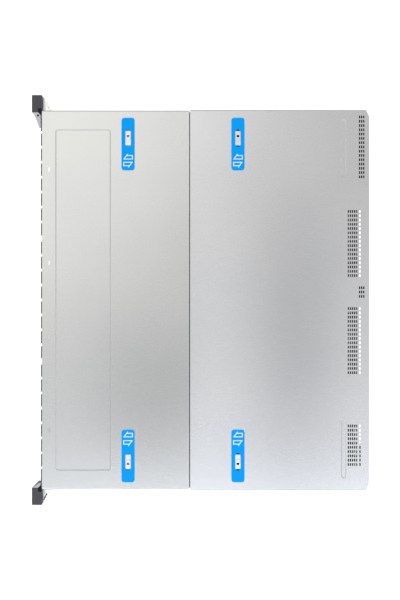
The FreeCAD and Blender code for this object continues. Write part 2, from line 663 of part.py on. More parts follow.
def make_drive_carrier(node, x):
    """A tray with two rails and a bezel, the drive between the rails, a release lever and its button."""
    half = CARRIER_WIDTH / 2
    bezel_front = CARRIER_FRONT + LEVER_DEEP
    bezel_back = CARRIER_FRONT + BEZEL_DEPTH
    rail_high = (CARRIER_HEIGHT - DRIVE_WIDTH) / 2
    lower_rail = CARRIER_BOTTOM + rail_high
    upper_rail = CARRIER_TOP - rail_high
    side_view = [(bezel_front, CARRIER_BOTTOM), (CARRIER_REAR, CARRIER_BOTTOM), (CARRIER_REAR, lower_rail),
                 (bezel_back, lower_rail), (bezel_back, upper_rail), (CARRIER_REAR, upper_rail),
                 (CARRIER_REAR, CARRIER_TOP), (bezel_front, CARRIER_TOP)]
    tray = prism([vec(x - half, y, z) for y, z in side_view], vec(CARRIER_WIDTH, 0, 0))
    button_low = CARRIER_TOP - LEVER_BUTTON
    lever_high = button_low - LEVER_BUTTON_GAP
    outline = [(CARRIER_FRONT, CARRIER_BOTTOM), (CARRIER_FRONT, lever_high - LEVER_SCOOP),
               (bezel_front - LEVER_EDGE, lever_high), (bezel_front, lever_high),
               (bezel_front, CARRIER_BOTTOM)]
    lever = prism([vec(x - half, y, z) for y, z in outline], vec(CARRIER_WIDTH, 0, 0))
    button = box(x - half, x + half, CARRIER_FRONT, bezel_front, button_low, CARRIER_TOP)
    drive = box(x - DRIVE_THICK / 2, x + DRIVE_THICK / 2, CARRIER_REAR - DRIVE_LENGTH, CARRIER_REAR,
                lower_rail, upper_rail)
    save(node, tray, lever, button, drive)


def make_drive_backplane():
    """A circuit board across the rear of the drive cage with one connector for each drive."""
    board = box(-CAGE_HALF, CAGE_HALF, BACKPLANE_Y, BACKPLANE_Y + BACKPLANE, CAGE_FLOOR, CAGE_TOP)
    low = CARRIER_BOTTOM + (CARRIER_HEIGHT - DRIVE_WIDTH) / 2
    connectors = []
    for x in bay_places():
        connectors.append(box(x - CONNECTOR_WIDE / 2, x + CONNECTOR_WIDE / 2, BACKPLANE_Y - CONNECTOR_DEEP,
                              BACKPLANE_Y, low, low + CONNECTOR_LONG))
    save("drive_backplane", board, *connectors)


def fan_places():
    return [(index - (FAN_COUNT - 1) / 2) * FAN_PITCH for index in range(FAN_COUNT)]


def make_fan_wall():
    """A sheet across the tray with an opening for each fan and a channel along its top."""
    wall = box(-WALL_IN, WALL_IN, FAN_WALL, FAN_FRONT, SHEET, WALL_TOP)
    channel = box(-WALL_IN, WALL_IN, FAN_WALL - BRACE_DEEP, FAN_WALL, WALL_TOP - SHEET, WALL_TOP)
    lip = box(-WALL_IN, WALL_IN, FAN_WALL - BRACE_DEEP, FAN_WALL - BRACE_DEEP + SHEET, WALL_TOP - BRACE_DROP,
              WALL_TOP)
    openings = []
    for x in fan_places():
        opening = rounded_plate(x - FAN_BORE, x + FAN_BORE, FAN_Z - FAN_BORE, FAN_Z + FAN_BORE, -FAN_FRONT,
                                -FAN_WALL, FAN_CORNER, FAN_CORNER_STEPS)
        opening.rotate(vec(0, 0, 0), vec(1, 0, 0), 90)
        openings.append(opening)
    save("fan_wall", join([wall, channel, lip]).cut(openings))


def make_fan_frames():
    """Square frames with a round duct and a bearing boss held by four struts at the rear."""
    frames = []
    boss_front = FAN_FRONT + HUB_RECESS + HUB_DEPTH + 2 * GAP
    half = FAN_SIZE / 2
    for x in fan_places():
        frame = box(x - half, x + half, FAN_FRONT, FAN_REAR, FAN_Z - half, FAN_Z + half)
        frame = frame.cut(polygon_rod_y(x, FAN_FRONT, FAN_REAR, FAN_Z, FAN_BORE, DUCT_SIDES))
        boss = polygon_rod_y(x, boss_front, FAN_REAR, FAN_Z, FAN_HUB, SHAFT_SIDES)
        strut_y = FAN_REAR - STRUT_DEEP
        bars = [box(x - half, x + half, strut_y, FAN_REAR, FAN_Z - STRUT_WIDE / 2, FAN_Z + STRUT_WIDE / 2),
                box(x - STRUT_WIDE / 2, x + STRUT_WIDE / 2, strut_y, FAN_REAR, FAN_Z - half, FAN_Z + half)]
        bearing_r = (SHAFT + SHAFT_PLAY) / math.cos(math.pi / SHAFT_SIDES)
        bearing = polygon_rod_y(x, boss_front, FAN_REAR, FAN_Z, bearing_r, SHAFT_SIDES)
        frames.append(join([frame, boss] + bars).cut(bearing))
    save("fan_frames", *frames)


def blade_section(radius, chord, pitch, middle_y):
    """Four corners of a thin section of a blade, square to the radius and tilted by its pitch."""
    tilt = math.radians(pitch)
    along = vec(math.cos(tilt), math.sin(tilt), 0) * (chord / 2)
    across = vec(-math.sin(tilt), math.cos(tilt), 0) * (BLADE_SHEET / 2)
    middle = vec(0, middle_y, radius)
    return [middle + along + across, middle - along + across, middle - along - across, middle + along - across]


def twisted_blade(root, tip):
    """A blade between two sections, with flat ends and each twisted side in two triangles."""
    faces = [Part.Face(Part.makePolygon(section + section[:1])) for section in (root, tip)]
    for corner in range(len(root)):
        after = (corner + 1) % len(root)
        faces.append(Part.Face(Part.makePolygon([root[corner], root[after], tip[after], root[corner]])))
        faces.append(Part.Face(Part.makePolygon([root[corner], tip[after], tip[corner], root[corner]])))
    return Part.Solid(Part.Shell(faces))


def make_fan_rotor(node, x):
    """Hub, shaft and twisted blades that stop short of the duct."""
    hub_front = FAN_FRONT + HUB_RECESS
    hub_back = hub_front + HUB_DEPTH
    middle_y = (hub_front + hub_back) / 2
    tip_half = BLADE_CHORD_TIP / 2 * math.cos(math.radians(BLADE_PITCH_TIP))
    tip = math.sqrt((FAN_BORE - BLADE_TIP_GAP) ** 2 - tip_half ** 2)
    root = math.sqrt(FAN_HUB ** 2 - (BLADE_CHORD_ROOT / 2) ** 2) - BLADE_SHEET
    blade = twisted_blade(blade_section(root, BLADE_CHORD_ROOT, BLADE_PITCH_ROOT, middle_y),
                          blade_section(tip, BLADE_CHORD_TIP, BLADE_PITCH_TIP, middle_y))
    pieces = [polygon_rod_y(0, hub_front, hub_back, 0, FAN_HUB, HUB_SIDES),
              rod_y(0, hub_back, hub_back + SHAFT_LENGTH, 0, SHAFT)]
    for index in range(BLADE_COUNT):
        turned = blade.copy()
        turned.rotate(vec(0, 0, 0), vec(0, 1, 0), index * 360 / BLADE_COUNT)
        pieces.append(turned)
    rotor = join(pieces)
    rotor.translate(vec(x, 0, FAN_Z))
    save(node, rotor)


def dimm_places():
    """Middle of every memory module along X: one block between the processors and one beside each."""
    inner = [(step + 0.5) * DIMM_PITCH for step in range(DIMM_INNER_PAIRS)]
    first = SINK_X + SINK_WIDTH / 2 + DIMM_SOCKET_WIDE
    room = BOARD_HALF - DUCT_SIDE - DUCT_SHEET - DIMM_SOCKET_WIDE / 2 - first
    outer = [first + step * DIMM_PITCH for step in range(math.floor(room / DIMM_PITCH) + 1)]
    return [side * x for x in inner + outer for side in (-1, 1)]


def memory_module(x, clearance):
    y0 = DIMM_Y
    low = BOARD_TOP + DIMM_SEAT
    return box(x - DIMM_SHEET / 2 - clearance, x + DIMM_SHEET / 2 + clearance, y0 - clearance,
               y0 + DIMM_LENGTH + clearance, low, low + DIMM_HIGH)


def make_motherboard():
    """Circuit board on hexagonal stand-offs, with processor sockets and memory sockets."""
    board = box(-BOARD_HALF, BOARD_HALF, BOARD_Y, BOARD_Y + BOARD_LENGTH, BOARD_BOTTOM, BOARD_TOP)
    pieces = [board]
    reach = STANDOFF_FLAT / math.sqrt(3)
    for row in range(STANDOFF_ROWS):
        y = BOARD_Y + STANDOFF_INSET + row * (BOARD_LENGTH - 2 * STANDOFF_INSET) / (STANDOFF_ROWS - 1)
        for column in range(STANDOFF_COLUMNS):
            span = 2 * (BOARD_HALF - STANDOFF_INSET)
            x = -BOARD_HALF + STANDOFF_INSET + column * span / (STANDOFF_COLUMNS - 1)
            angles = [math.radians(60 * corner) for corner in range(6)]
            outline = [vec(x + reach * math.cos(a), y + reach * math.sin(a), SHEET) for a in angles]
            pieces.append(prism(outline, vec(0, 0, STANDOFF_HIGH)))
    for side in (-1, 1):
        middle = side * SINK_X
        sink_y = BOARD_Y + SINK_START
        pieces.append(box(middle - SINK_WIDTH / 2 + SINK_SOCKET, middle + SINK_WIDTH / 2 - SINK_SOCKET,
                          sink_y + SINK_SOCKET, sink_y + SINK_LENGTH - SINK_SOCKET, BOARD_TOP,
                          BOARD_TOP + SINK_SOCKET))
    y0 = DIMM_Y - (DIMM_SOCKET_WIDE - DIMM_SHEET) / 2
    y1 = y0 + DIMM_LENGTH + DIMM_SOCKET_WIDE - DIMM_SHEET
    for x in dimm_places():
        socket = box(x - DIMM_SOCKET_WIDE / 2, x + DIMM_SOCKET_WIDE / 2, y0, y1, BOARD_TOP,
                     BOARD_TOP + DIMM_SOCKET_HIGH)
        pieces.append(socket.cut(memory_module(x, DIMM_PLAY)))
    save("motherboard", *pieces)


def make_heatsinks():
    """Two finned blocks, each a comb outline pushed along the air flow."""
    sinks = []
    low = BOARD_TOP + SINK_SOCKET
    y0 = BOARD_Y + SINK_START
    pitch = (SINK_WIDTH - FIN_SHEET) / (SINK_FINS - 1)
    for side in (-1, 1):
        left = side * SINK_X - SINK_WIDTH / 2
        outline = [vec(left + SINK_WIDTH, y0, low), vec(left, y0, low)]
        for fin in range(SINK_FINS):
            x = left + fin * pitch
            if fin > 0:
                outline.append(vec(x, y0, low + SINK_BASE))
            outline.append(vec(x, y0, low + SINK_HIGH))
            outline.append(vec(x + FIN_SHEET, y0, low + SINK_HIGH))
            if fin < SINK_FINS - 1:
                outline.append(vec(x + FIN_SHEET, y0, low + SINK_BASE))
        sinks.append(prism(outline, vec(0, SINK_LENGTH, 0)))
    save("heatsinks", *sinks)


def make_memory_modules():
    save("memory_modules", *[memory_module(x, TOUCH) for x in dimm_places()])


def make_air_duct():
    """A plastic hood that carries the fans' air over the processors, open in the middle."""
    half = BOARD_HALF - DUCT_SIDE
    y0 = BOARD_Y - DUCT_OVERHANG
    y1 = y0 + DUCT_LENGTH
    outer = box(-half, half, y0, y1, BOARD_TOP, DUCT_TOP)
    inner = box(-half + DUCT_SHEET, half - DUCT_SHEET, y0, y1, BOARD_TOP, DUCT_TOP - DUCT_SHEET)
    window = box(-DUCT_WINDOW_HALF, DUCT_WINDOW_HALF, y0 + DUCT_WINDOW_HALF, y1, DUCT_TOP - DUCT_SHEET,
                 DUCT_TOP)
    ahead = box(-half, half, y0, BOARD_Y, BOARD_TOP, BOARD_TOP + GAP)
    save("air_duct", outer.cut([inner, window, ahead]))


def card_heights():
    """Middle height of each card slot in a riser."""
    return [RISER_BOTTOM + (slot + 0.5) * CARD_PITCH for slot in (0, 1)]


def port_blocks(places, wide, high, clearance, y0, y1):
    return [box(x - wide / 2 - clearance, x + wide / 2 + clearance, y0, y1, BOARD_TOP - clearance,
                BOARD_TOP + high + clearance) for x in places]


def make_rear_panel():
    """The recessed rear wall with its bays, card slots, port cut-outs and closed channels."""
    top = WALL_TOP - PANEL_TOP_PLAY
    wall = box(-WALL_IN, WALL_IN, PANEL_Y, PANEL_BACK, SHEET, top)
    low = top - TROUGH_DROP
    pieces = [wall]
    cuts = []
    closed_x = END_VENT_X + END_VENT_OPEN_ROWS * VENT_PITCH_X
    for first_x, rows in ((CORNER_VENT_X, CORNER_VENT_ROWS), (MIDDLE_VENT_X, MIDDLE_VENT_ROWS),
                          (closed_x, END_VENT_ROWS - END_VENT_OPEN_ROWS)):
        x0 = first_x - VENT_LONG / 2 - TROUGH_END_PLAY
        x1 = first_x + (rows - 1) * VENT_PITCH_X + VENT_LONG / 2 + TROUGH_END_PLAY
        pieces.append(box(x0 - SHEET, x1 + SHEET, PANEL_BACK, PANEL_BACK + TROUGH_DEEP, low, top))
        cuts.append(box(x0, x1, PANEL_BACK, PANEL_BACK + TROUGH_DEEP - SHEET, low + SHEET, top))
    bay_high = PSU_TOP + PSU_PLAY
    for side in (-1, 1):
        cuts.append(box(side * (PSU_INNER - PSU_PLAY), side * WALL_IN, PANEL_Y, PANEL_BACK, SHEET, bay_high))
        slot_middle = side * (RISER_INNER + RISER_WIDTH / 2)
        for z in card_heights():
            cuts.append(box(slot_middle - SLOT_OPEN_LONG / 2, slot_middle + SLOT_OPEN_LONG / 2, PANEL_Y,
                            PANEL_BACK, z - SLOT_OPEN_HIGH / 2, z + SLOT_OPEN_HIGH / 2))
        vent_middle = side * (PSU_INNER + PSU_OUTER) / 2
        vent_low = (bay_high + low - SIDE_VENT_HIGH) / 2
        for step in range(SIDE_VENT_COUNT):
            x = vent_middle + (step - (SIDE_VENT_COUNT - 1) / 2) * SIDE_VENT_PITCH
            cuts.append(box(x - SIDE_VENT_WIDE / 2, x + SIDE_VENT_WIDE / 2, PANEL_Y, PANEL_BACK, vent_low,
                            vent_low + SIDE_VENT_HIGH))
    cuts += port_blocks(RJ_PLACES, RJ_WIDE, RJ_HIGH, PORT_FLOAT, PANEL_Y, PANEL_BACK)
    cuts += port_blocks(USB_PLACES, USB_WIDE, USB_HIGH, PORT_FLOAT, PANEL_Y, PANEL_BACK)
    cuts += port_blocks(DSUB_PLACES, DSUB_WIDE, DSUB_HIGH, PORT_FLOAT, PANEL_Y, PANEL_BACK)
    save("rear_panel", join(pieces).cut(cuts))


def make_io_ports():
    """Network and USB sockets with open fronts and two trapezoid video and serial shells."""
    y0 = PANEL_BACK - PORT_DEPTH
    pieces = []
    for places, wide, high in ((RJ_PLACES, RJ_WIDE, RJ_HIGH), (USB_PLACES, USB_WIDE, USB_HIGH)):
        for shell, x in zip(port_blocks(places, wide, high, TOUCH, y0, PANEL_BACK), places):
            hollow = box(x - wide / 2 + PORT_WALL, x + wide / 2 - PORT_WALL, y0 + PORT_WALL, PANEL_BACK,
                         BOARD_TOP + PORT_WALL, BOARD_TOP + high - PORT_WALL)
            pieces.append(shell.cut(hollow))
    slant = DSUB_SHELL_HIGH / 6
    low = BOARD_TOP + (DSUB_HIGH - DSUB_SHELL_HIGH) / 2
    for block, x in zip(port_blocks(DSUB_PLACES, DSUB_WIDE, DSUB_HIGH, TOUCH, y0, PANEL_BACK), DSUB_PLACES):
        half = DSUB_SHELL / 2
        outline = [vec(x - half + slant, PANEL_BACK, low), vec(x + half - slant, PANEL_BACK, low),
                   vec(x + half, PANEL_BACK, low + DSUB_SHELL_HIGH),
                   vec(x - half, PANEL_BACK, low + DSUB_SHELL_HIGH)]
        pieces.append(join([block, prism(outline, vec(0, DSUB_SHELL_DEEP, 0))]))
    save("io_ports", *pieces)


def make_riser_cages():
    """Two folded brackets, each with an upright riser card and its two card sockets."""
    pieces = []
    y0 = PANEL_Y - RISER_LENGTH
    top_end = REAR - DEEP_VENT_REAR - RISER_SOCKET_WIDE / 2
    for side in (-1, 1):
        inner = side * RISER_INNER
        card = side * (RISER_INNER + SHEET)
        face = side * (RISER_INNER + SHEET + RISER_CARD)
        outer = side * (RISER_INNER + RISER_WIDTH)
        pieces.append(join([box(inner, card, y0, PANEL_Y, RISER_BOTTOM, RISER_TOP),
                            box(inner, outer, y0, top_end, RISER_TOP - SHEET, RISER_TOP),
                            box(outer - side * SHEET, outer, y0, PANEL_Y, RISER_BOTTOM, RISER_TOP)]))
        tongue_y = DIMM_Y + DIMM_LENGTH + DIMM_SOCKET_WIDE
        low = box(card, face, tongue_y, BOARD_END, BOARD_TOP, RISER_BOTTOM)
        high = box(card, face, y0, BOARD_END, RISER_BOTTOM, RISER_TOP - SHEET)
        pieces.append(join([low, high]))
        for z in card_heights():
            pieces.append(box(face, face + side * RISER_SOCKET_DEEP, y0 + RISER_SOCKET_WIDE, BOARD_END,
                              z - RISER_SOCKET_WIDE / 2, z + RISER_SOCKET_WIDE / 2))
    save("riser_cages", *pieces)


def make_slot_covers():
    """Blank plates over the four card slots, each with a folded tab."""
    covers = []
    for side in (-1, 1):
        middle = side * (RISER_INNER + RISER_WIDTH / 2)
        inner = middle - side * (SLOT_OPEN_LONG / 2 + GAP)
        outer = middle + side * (SLOT_OPEN_LONG / 2 + 2 * GAP + COVER_SHEET)
        for z in card_heights():
            low = z - SLOT_COVER_HIGH / 2
            high = z + SLOT_COVER_HIGH / 2
            plate = box(inner, outer, PANEL_Y - COVER_SHEET, PANEL_Y, low, high)
            tab = box(outer - side * COVER_SHEET, outer, PANEL_Y - SLOT_TAB, PANEL_Y, low, high)
            covers.append(join([plate, tab]))
    save("slot_covers", *covers)


def make_psu_bays():
    """A folded sheet over and beside each power supply."""
    bays = []
    y0 = PSU_FRONT - GAP
    inner = PSU_INNER - PSU_PLAY
    low = PSU_TOP + GAP
    for side in (-1, 1):
        wall = box(side * (inner - PSU_BAY_SHEET), side * inner, y0, PANEL_Y, SHEET, low + PSU_BAY_SHEET)
        roof = box(side * (inner - PSU_BAY_SHEET), side * WALL_IN, y0, PANEL_Y, low, low + PSU_BAY_SHEET)
        bays.append(join([wall, roof]))
    save("psu_bays", *bays)


def make_power_supply(node, side):
    """A steel block with a mains inlet, an exhaust grille, a pull handle and a pocket for the latch."""
    body = box(side * PSU_INNER, side * PSU_OUTER, PSU_FRONT, PSU_REAR, PSU_BOTTOM, PSU_TOP)
    middle_z = (PSU_BOTTOM + PSU_TOP) / 2
    inlet_low = middle_z - INLET_HIGH / 2
    inlet_high = middle_z + INLET_HIGH / 2
    inlet_x0 = PSU_INNER + INLET_EDGE
    inlet_x1 = inlet_x0 + INLET_WIDE
    corner = INLET_HIGH / 4
    inlet_y = PSU_REAR - INLET_DEPTH
    outline = [(inlet_x0, inlet_low), (inlet_x1, inlet_low), (inlet_x1, inlet_high - corner),
               (inlet_x1 - corner, inlet_high), (inlet_x0 + corner, inlet_high),
               (inlet_x0, inlet_high - corner)]
    cuts = [prism([vec(side * x, inlet_y, z) for x, z in outline], vec(0, INLET_DEPTH, 0))]
    grille_x = PSU_INNER + GRILLE_EDGE
    for step in range(GRILLE_COUNT):
        z = middle_z + (step - (GRILLE_COUNT - 1) / 2) * GRILLE_PITCH
        cuts.append(box(side * grille_x, side * (grille_x + GRILLE_WIDE), PSU_REAR - GRILLE_DEPTH, PSU_REAR,
                        z - GRILLE_HIGH / 2, z + GRILLE_HIGH / 2))
    latch_outer = PSU_INNER + PSU_LATCH_EDGE + GAP
    latch_inner = latch_outer - PSU_LATCH_WIDE - PSU_LATCH_TRAVEL - 2 * GAP
    latch_half = PSU_LATCH_HIGH / 2 + GAP
    cuts.append(box(side * latch_inner, side * latch_outer, PSU_REAR - PSU_LATCH_STEM - GAP, PSU_REAR,
                    middle_z - latch_half, middle_z + latch_half))
    pins = []
    inlet_middle = (inlet_x0 + inlet_x1) / 2
    for step in (-1, 0, 1):
        z = middle_z - PIN_DROP / 2
        if step == 0:
            z = middle_z + PIN_DROP / 2
        x = inlet_middle + step * PIN_SPACE
        pins.append(box(side * (x - PIN_WIDE / 2), side * (x + PIN_WIDE / 2), inlet_y, inlet_y + PIN_LONG,
                        z - PIN_HIGH / 2, z + PIN_HIGH / 2))
    handle_x = PSU_INNER + HANDLE_EDGE
    grip = (side * (handle_x - HANDLE_WIDE / 2), side * (handle_x + HANDLE_WIDE / 2))
    handle_low = middle_z - HANDLE_HIGH / 2
    handle_high = middle_z + HANDLE_HIGH / 2
    loop = box(*grip, PSU_REAR, PSU_REAR + HANDLE_REACH, handle_low, handle_high)
    finger = box(*grip, PSU_REAR, PSU_REAR + HANDLE_REACH - HANDLE_BAR, handle_low + HANDLE_BAR,
                 handle_high - HANDLE_BAR)
    save(node, body.cut(cuts), loop.cut(finger), *pins)


def make_psu_latch(node, side):
    """A thumb tab beside the handle with a stem in the pocket of the power supply."""
    outer = PSU_INNER + PSU_LATCH_EDGE
    middle_z = (PSU_BOTTOM + PSU_TOP) / 2
    tab = box(side * (outer - PSU_LATCH_WIDE), side * outer, PSU_REAR - PSU_LATCH_STEM,
              PSU_REAR + PSU_LATCH_REACH, middle_z - PSU_LATCH_HIGH / 2, middle_z + PSU_LATCH_HIGH / 2)
    save(node, tab)


def rack_slot(x, z):
    """A slot along X, through an ear from front to rear."""
    slot = obround(x, z, RACK_SLOT_LONG, RACK_SLOT_WIDE, -FRONT, -EAR_FRONT)
    slot.rotate(vec(0, 0, 0), vec(1, 0, 0), 90)
    return slot


def button_block(side, y0, y1, clearance):
    wide = BUTTON_WIDE / 2 + clearance
    high = BUTTON_HIGH / 2 + clearance
    return box(side * BUTTON_X - wide, side * BUTTON_X + wide, y0, y1, BUTTON_Z - high, BUTTON_Z + high)


def make_rack_ears():
    """Moulded end blocks with two rack slots each and a bore for a button."""
    ears = []
    bore_end = EAR_FRONT + BUTTON_INSET + BUTTON_LENGTH + BUTTON_TRAVEL + GAP
    for side in (-1, 1):
        block = rounded_plate(side * EAR_INNER, side * EAR_OUTER, EAR_FRONT, FRONT, EAR_BOTTOM, EAR_TOP,
                              EAR_ROUND)
        cuts = [rack_slot(side * RACK_HOLE_X, RACK_HOLE_Z + way * RACK_HOLE_SPACE / 2) for way in (-1, 1)]
        cuts.append(button_block(side, EAR_FRONT, bore_end, GAP))
        ears.append(block.cut(cuts))
    save("rack_ears", *ears)


def make_ear_trims():
    """Silver hoods on the inner sides of the ears, above the drive carriers."""
    trims = []
    for side, reach in ((-1, TRIM_LEFT_REACH), (1, TRIM_RIGHT_REACH)):
        tip = side * (EAR_INNER - reach)
        root = side * EAR_INNER
        outline = [vec(root, FRONT - TRIM_OUTER_Y, EAR_TOP), vec(tip, FRONT - TRIM_INNER_Y, EAR_TOP),
                   vec(tip, FRONT - TRIM_BACK_Y, EAR_TOP), vec(root, FRONT - TRIM_BACK_Y, EAR_TOP)]
        trims.append(prism(outline, vec(0, 0, -TRIM_THICK)))
    save("ear_trims", *trims)


def make_ear_brackets():
    """Folded hooks behind the ears: a plate on the wall, a plate behind the ear and two gussets."""
    brackets = []
    for side in (-1, 1):
        wall = side * WALL_OUT
        outer = side * BRACKET_OUTER
        pieces = [box(wall, wall + side * BRACKET_SHEET, FRONT, FRONT + BRACKET_DEPTH, BRACKET_BOTTOM,
                      BRACKET_TOP),
                  box(wall, outer, FRONT, FRONT + BRACKET_SHEET, BRACKET_BOTTOM, BRACKET_TOP)]
        for z in (BRACKET_BOTTOM, BRACKET_TOP - BRACKET_SHEET):
            corners = [vec(wall, FRONT, z), vec(outer, FRONT, z), vec(wall, FRONT + BRACKET_DEPTH, z)]
            pieces.append(prism(corners, vec(0, 0, BRACKET_SHEET)))
        brackets.append(join(pieces))
    save("ear_brackets", *brackets)


def make_button(node, side):
    front = EAR_FRONT + BUTTON_INSET
    save(node, button_block(side, front, front + BUTTON_LENGTH, TOUCH))


os.makedirs("parts", exist_ok=True)
make_chassis_tray()
make_rear_panel()
make_drive_cage()
make_drive_backplane()
for number, bay_x in enumerate(bay_places(), 1):
    make_drive_carrier("drive_carrier_%02d" % number, bay_x)
make_fan_wall()
make_fan_frames()
for number, fan_x in enumerate(fan_places(), 1):
    make_fan_rotor("fan_rotor_%d" % number, fan_x)
make_motherboard()
make_heatsinks()
make_memory_modules()
make_air_duct()
make_riser_cages()
make_slot_covers()
make_io_ports()
make_psu_bays()
make_power_supply("power_supply_1", -1)
make_power_supply("power_supply_2", 1)
make_psu_latch("psu_latch_1", -1)
make_psu_latch("psu_latch_2", 1)
make_rack_ears()
make_ear_trims()
make_ear_brackets()
make_button("id_button", -1)
make_button("power_button", 1)
make_front_cover()
make_front_cover_studs()
make_labels("front_cover_labels", FRONT_LATCH)
make_rear_cover()
make_labels("rear_cover_labels", REAR_LATCH)
make_latch_slider("latch_front_left", -1, FRONT_LATCH)
make_latch_slider("latch_front_right", 1, FRONT_LATCH)
make_latch_slider("latch_rear_left", -1, REAR_LATCH)
make_latch_slider("latch_rear_right", 1, REAR_LATCH)
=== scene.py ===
import math

import bmesh
import bpy
from mathutils import Matrix, Vector


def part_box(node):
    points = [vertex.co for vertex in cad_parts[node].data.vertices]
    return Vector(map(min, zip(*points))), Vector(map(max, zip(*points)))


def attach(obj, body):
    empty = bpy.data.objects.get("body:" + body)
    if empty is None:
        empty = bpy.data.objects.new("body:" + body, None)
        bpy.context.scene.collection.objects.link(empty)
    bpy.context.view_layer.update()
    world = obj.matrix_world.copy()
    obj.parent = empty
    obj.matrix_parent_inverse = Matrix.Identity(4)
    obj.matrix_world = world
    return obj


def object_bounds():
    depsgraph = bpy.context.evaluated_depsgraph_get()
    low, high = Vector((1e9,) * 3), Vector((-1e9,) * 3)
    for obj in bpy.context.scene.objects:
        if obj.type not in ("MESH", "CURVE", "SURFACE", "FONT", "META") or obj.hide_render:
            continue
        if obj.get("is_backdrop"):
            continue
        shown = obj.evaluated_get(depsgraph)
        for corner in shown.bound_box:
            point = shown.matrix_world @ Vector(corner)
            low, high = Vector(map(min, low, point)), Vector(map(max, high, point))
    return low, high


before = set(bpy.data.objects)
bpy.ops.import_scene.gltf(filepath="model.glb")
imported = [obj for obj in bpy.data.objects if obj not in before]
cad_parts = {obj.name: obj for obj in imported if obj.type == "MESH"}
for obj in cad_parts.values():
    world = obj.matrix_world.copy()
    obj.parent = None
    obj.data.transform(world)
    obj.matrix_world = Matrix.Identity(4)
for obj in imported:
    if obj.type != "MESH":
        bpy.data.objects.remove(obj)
cad_low, cad_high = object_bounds()

# Chassis tray: floor and two side walls, folded from one sheet of zinc-coated steel. The zinc is plated
# on in the mill and passivated, so the sheet is a satin, slightly warm grey with a fine rolled grain and
# soft clouds, and has no paint.
MM = 0.001


def linear(hex_colour):
    """sRGB hex to linear colour with full alpha."""
    values = [int(hex_colour[i:i + 2], 16) / 255 for i in (1, 3, 5)]
    return [v / 12.92 if v <= 0.04045 else ((v + 0.055) / 1.055) ** 2.4 for v in values] + [1.0]


def add_node(tree, kind, values=None, links=None, **settings):
    """Adds a shader node with its settings, socket values and links."""
    node = tree.nodes.new("ShaderNode" + kind)
    for name, value in settings.items():
        setattr(node, name, value)
    for socket, value in (values or {}).items():
        node.inputs[socket].default_value = value
    for socket, (source, output) in (links or {}).items():
        tree.links.new(source.outputs[output], node.inputs[socket])
    return node


def start_material(name):
    """A new material and its empty node tree."""
    material = bpy.data.materials.new(name)
    material.use_nodes = True
    material.node_tree.nodes.clear()
    return material, material.node_tree


def dress(material, *nodes):
    """Gives the named solids this material."""
    for node in nodes:
        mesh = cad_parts[node].data
        mesh.materials.clear()
        mesh.materials.append(material)


def zinc_coated_steel(name, colour, cloud, roughness, slope_shade=1.0):
    """Satin sheet. The sloping sides of pressed forms are rougher and carry painted shade: their tone is
    multiplied by the last argument.
    """
    material, tree = start_material(name)
    place = add_node(tree, "TexCoord")
    rolled = add_node(tree, "Mapping", {"Scale": (1.0, 0.12, 1.0)}, {"Vector": (place, "Object")})
    # The rolled grain is under 0.1 mm; it is drawn 0.8 mm wide so that it shows.
    grain = add_node(tree, "TexNoise", {"Scale": 1000 / 0.8, "Detail": 4.0, "Roughness": 0.6},
                     {"Vector": (rolled, "Vector")})
    clouds = add_node(tree, "TexNoise", {"Scale": 1000 / 90, "Detail": 3.0}, {"Vector": (place, "Object")})
    spread = add_node(tree, "MapRange", {"From Min": 0.3, "From Max": 0.7}, {"Value": (clouds, "Fac")})
    sheet = add_node(tree, "Mix", {6: linear(colour), 7: linear(cloud)}, {0: (spread, "Result")},
                     data_type="RGBA")
    lines = add_node(tree, "MapRange",
                     {"From Min": 0.25, "From Max": 0.75, "To Min": 0.985, "To Max": 1.015},
                     {"Value": (grain, "Fac")})
    facing = add_node(tree, "NewGeometry")
    tilt = add_node(tree, "SeparateXYZ", {}, {"Vector": (facing, "True Normal")})
    # A pressed slope leans by about 17 degrees, which makes the upward part of its normal 0.955.
    slope = add_node(tree, "Math", {1: 0.955, 2: 0.03}, {0: (tilt, "Z")}, operation="COMPARE")
    # Painted shade: on the pressed slopes the tone is multiplied down by the given factor.
    painted_slope_shade = add_node(tree, "MapRange", {"To Min": 1.0, "To Max": slope_shade}, {"Value": (slope, "Value")})
    shade = add_node(tree, "Math", {}, {0: (lines, "Result"), 1: (painted_slope_shade, "Result")}, operation="MULTIPLY")
    tone = add_node(tree, "VectorMath", {}, {0: (sheet, 2), 1: (shade, "Value")}, operation="MULTIPLY")
    satin = add_node(tree, "MapRange", {"From Min": 0.25, "From Max": 0.75, "To Min": roughness - 0.015,
                                        "To Max": roughness + 0.02}, {"Value": (grain, "Fac")})
    drawn = add_node(tree, "Math", {1: 0.35}, {0: (slope, "Value"), 2: (satin, "Result")},
                     operation="MULTIPLY_ADD")
    relief = add_node(tree, "Bump", {"Strength": 0.012, "Distance": 0.1 * MM}, {"Height": (grain, "Fac")})
    metal = add_node(tree, "BsdfPrincipled", {"Metallic": 1.0},
                     {"Base Color": (tone, "Vector"), "Roughness": (drawn, "Value"),
                      "Normal": (relief, "Normal")})
    add_node(tree, "OutputMaterial", {}, {"Surface": (metal, "BSDF")})
    return material


tray_steel = zinc_coated_steel("zinc_coated_steel_tray", "#B9BAB8", "#B2B3B3", 0.36)
dress(tray_steel, "chassis_tray")

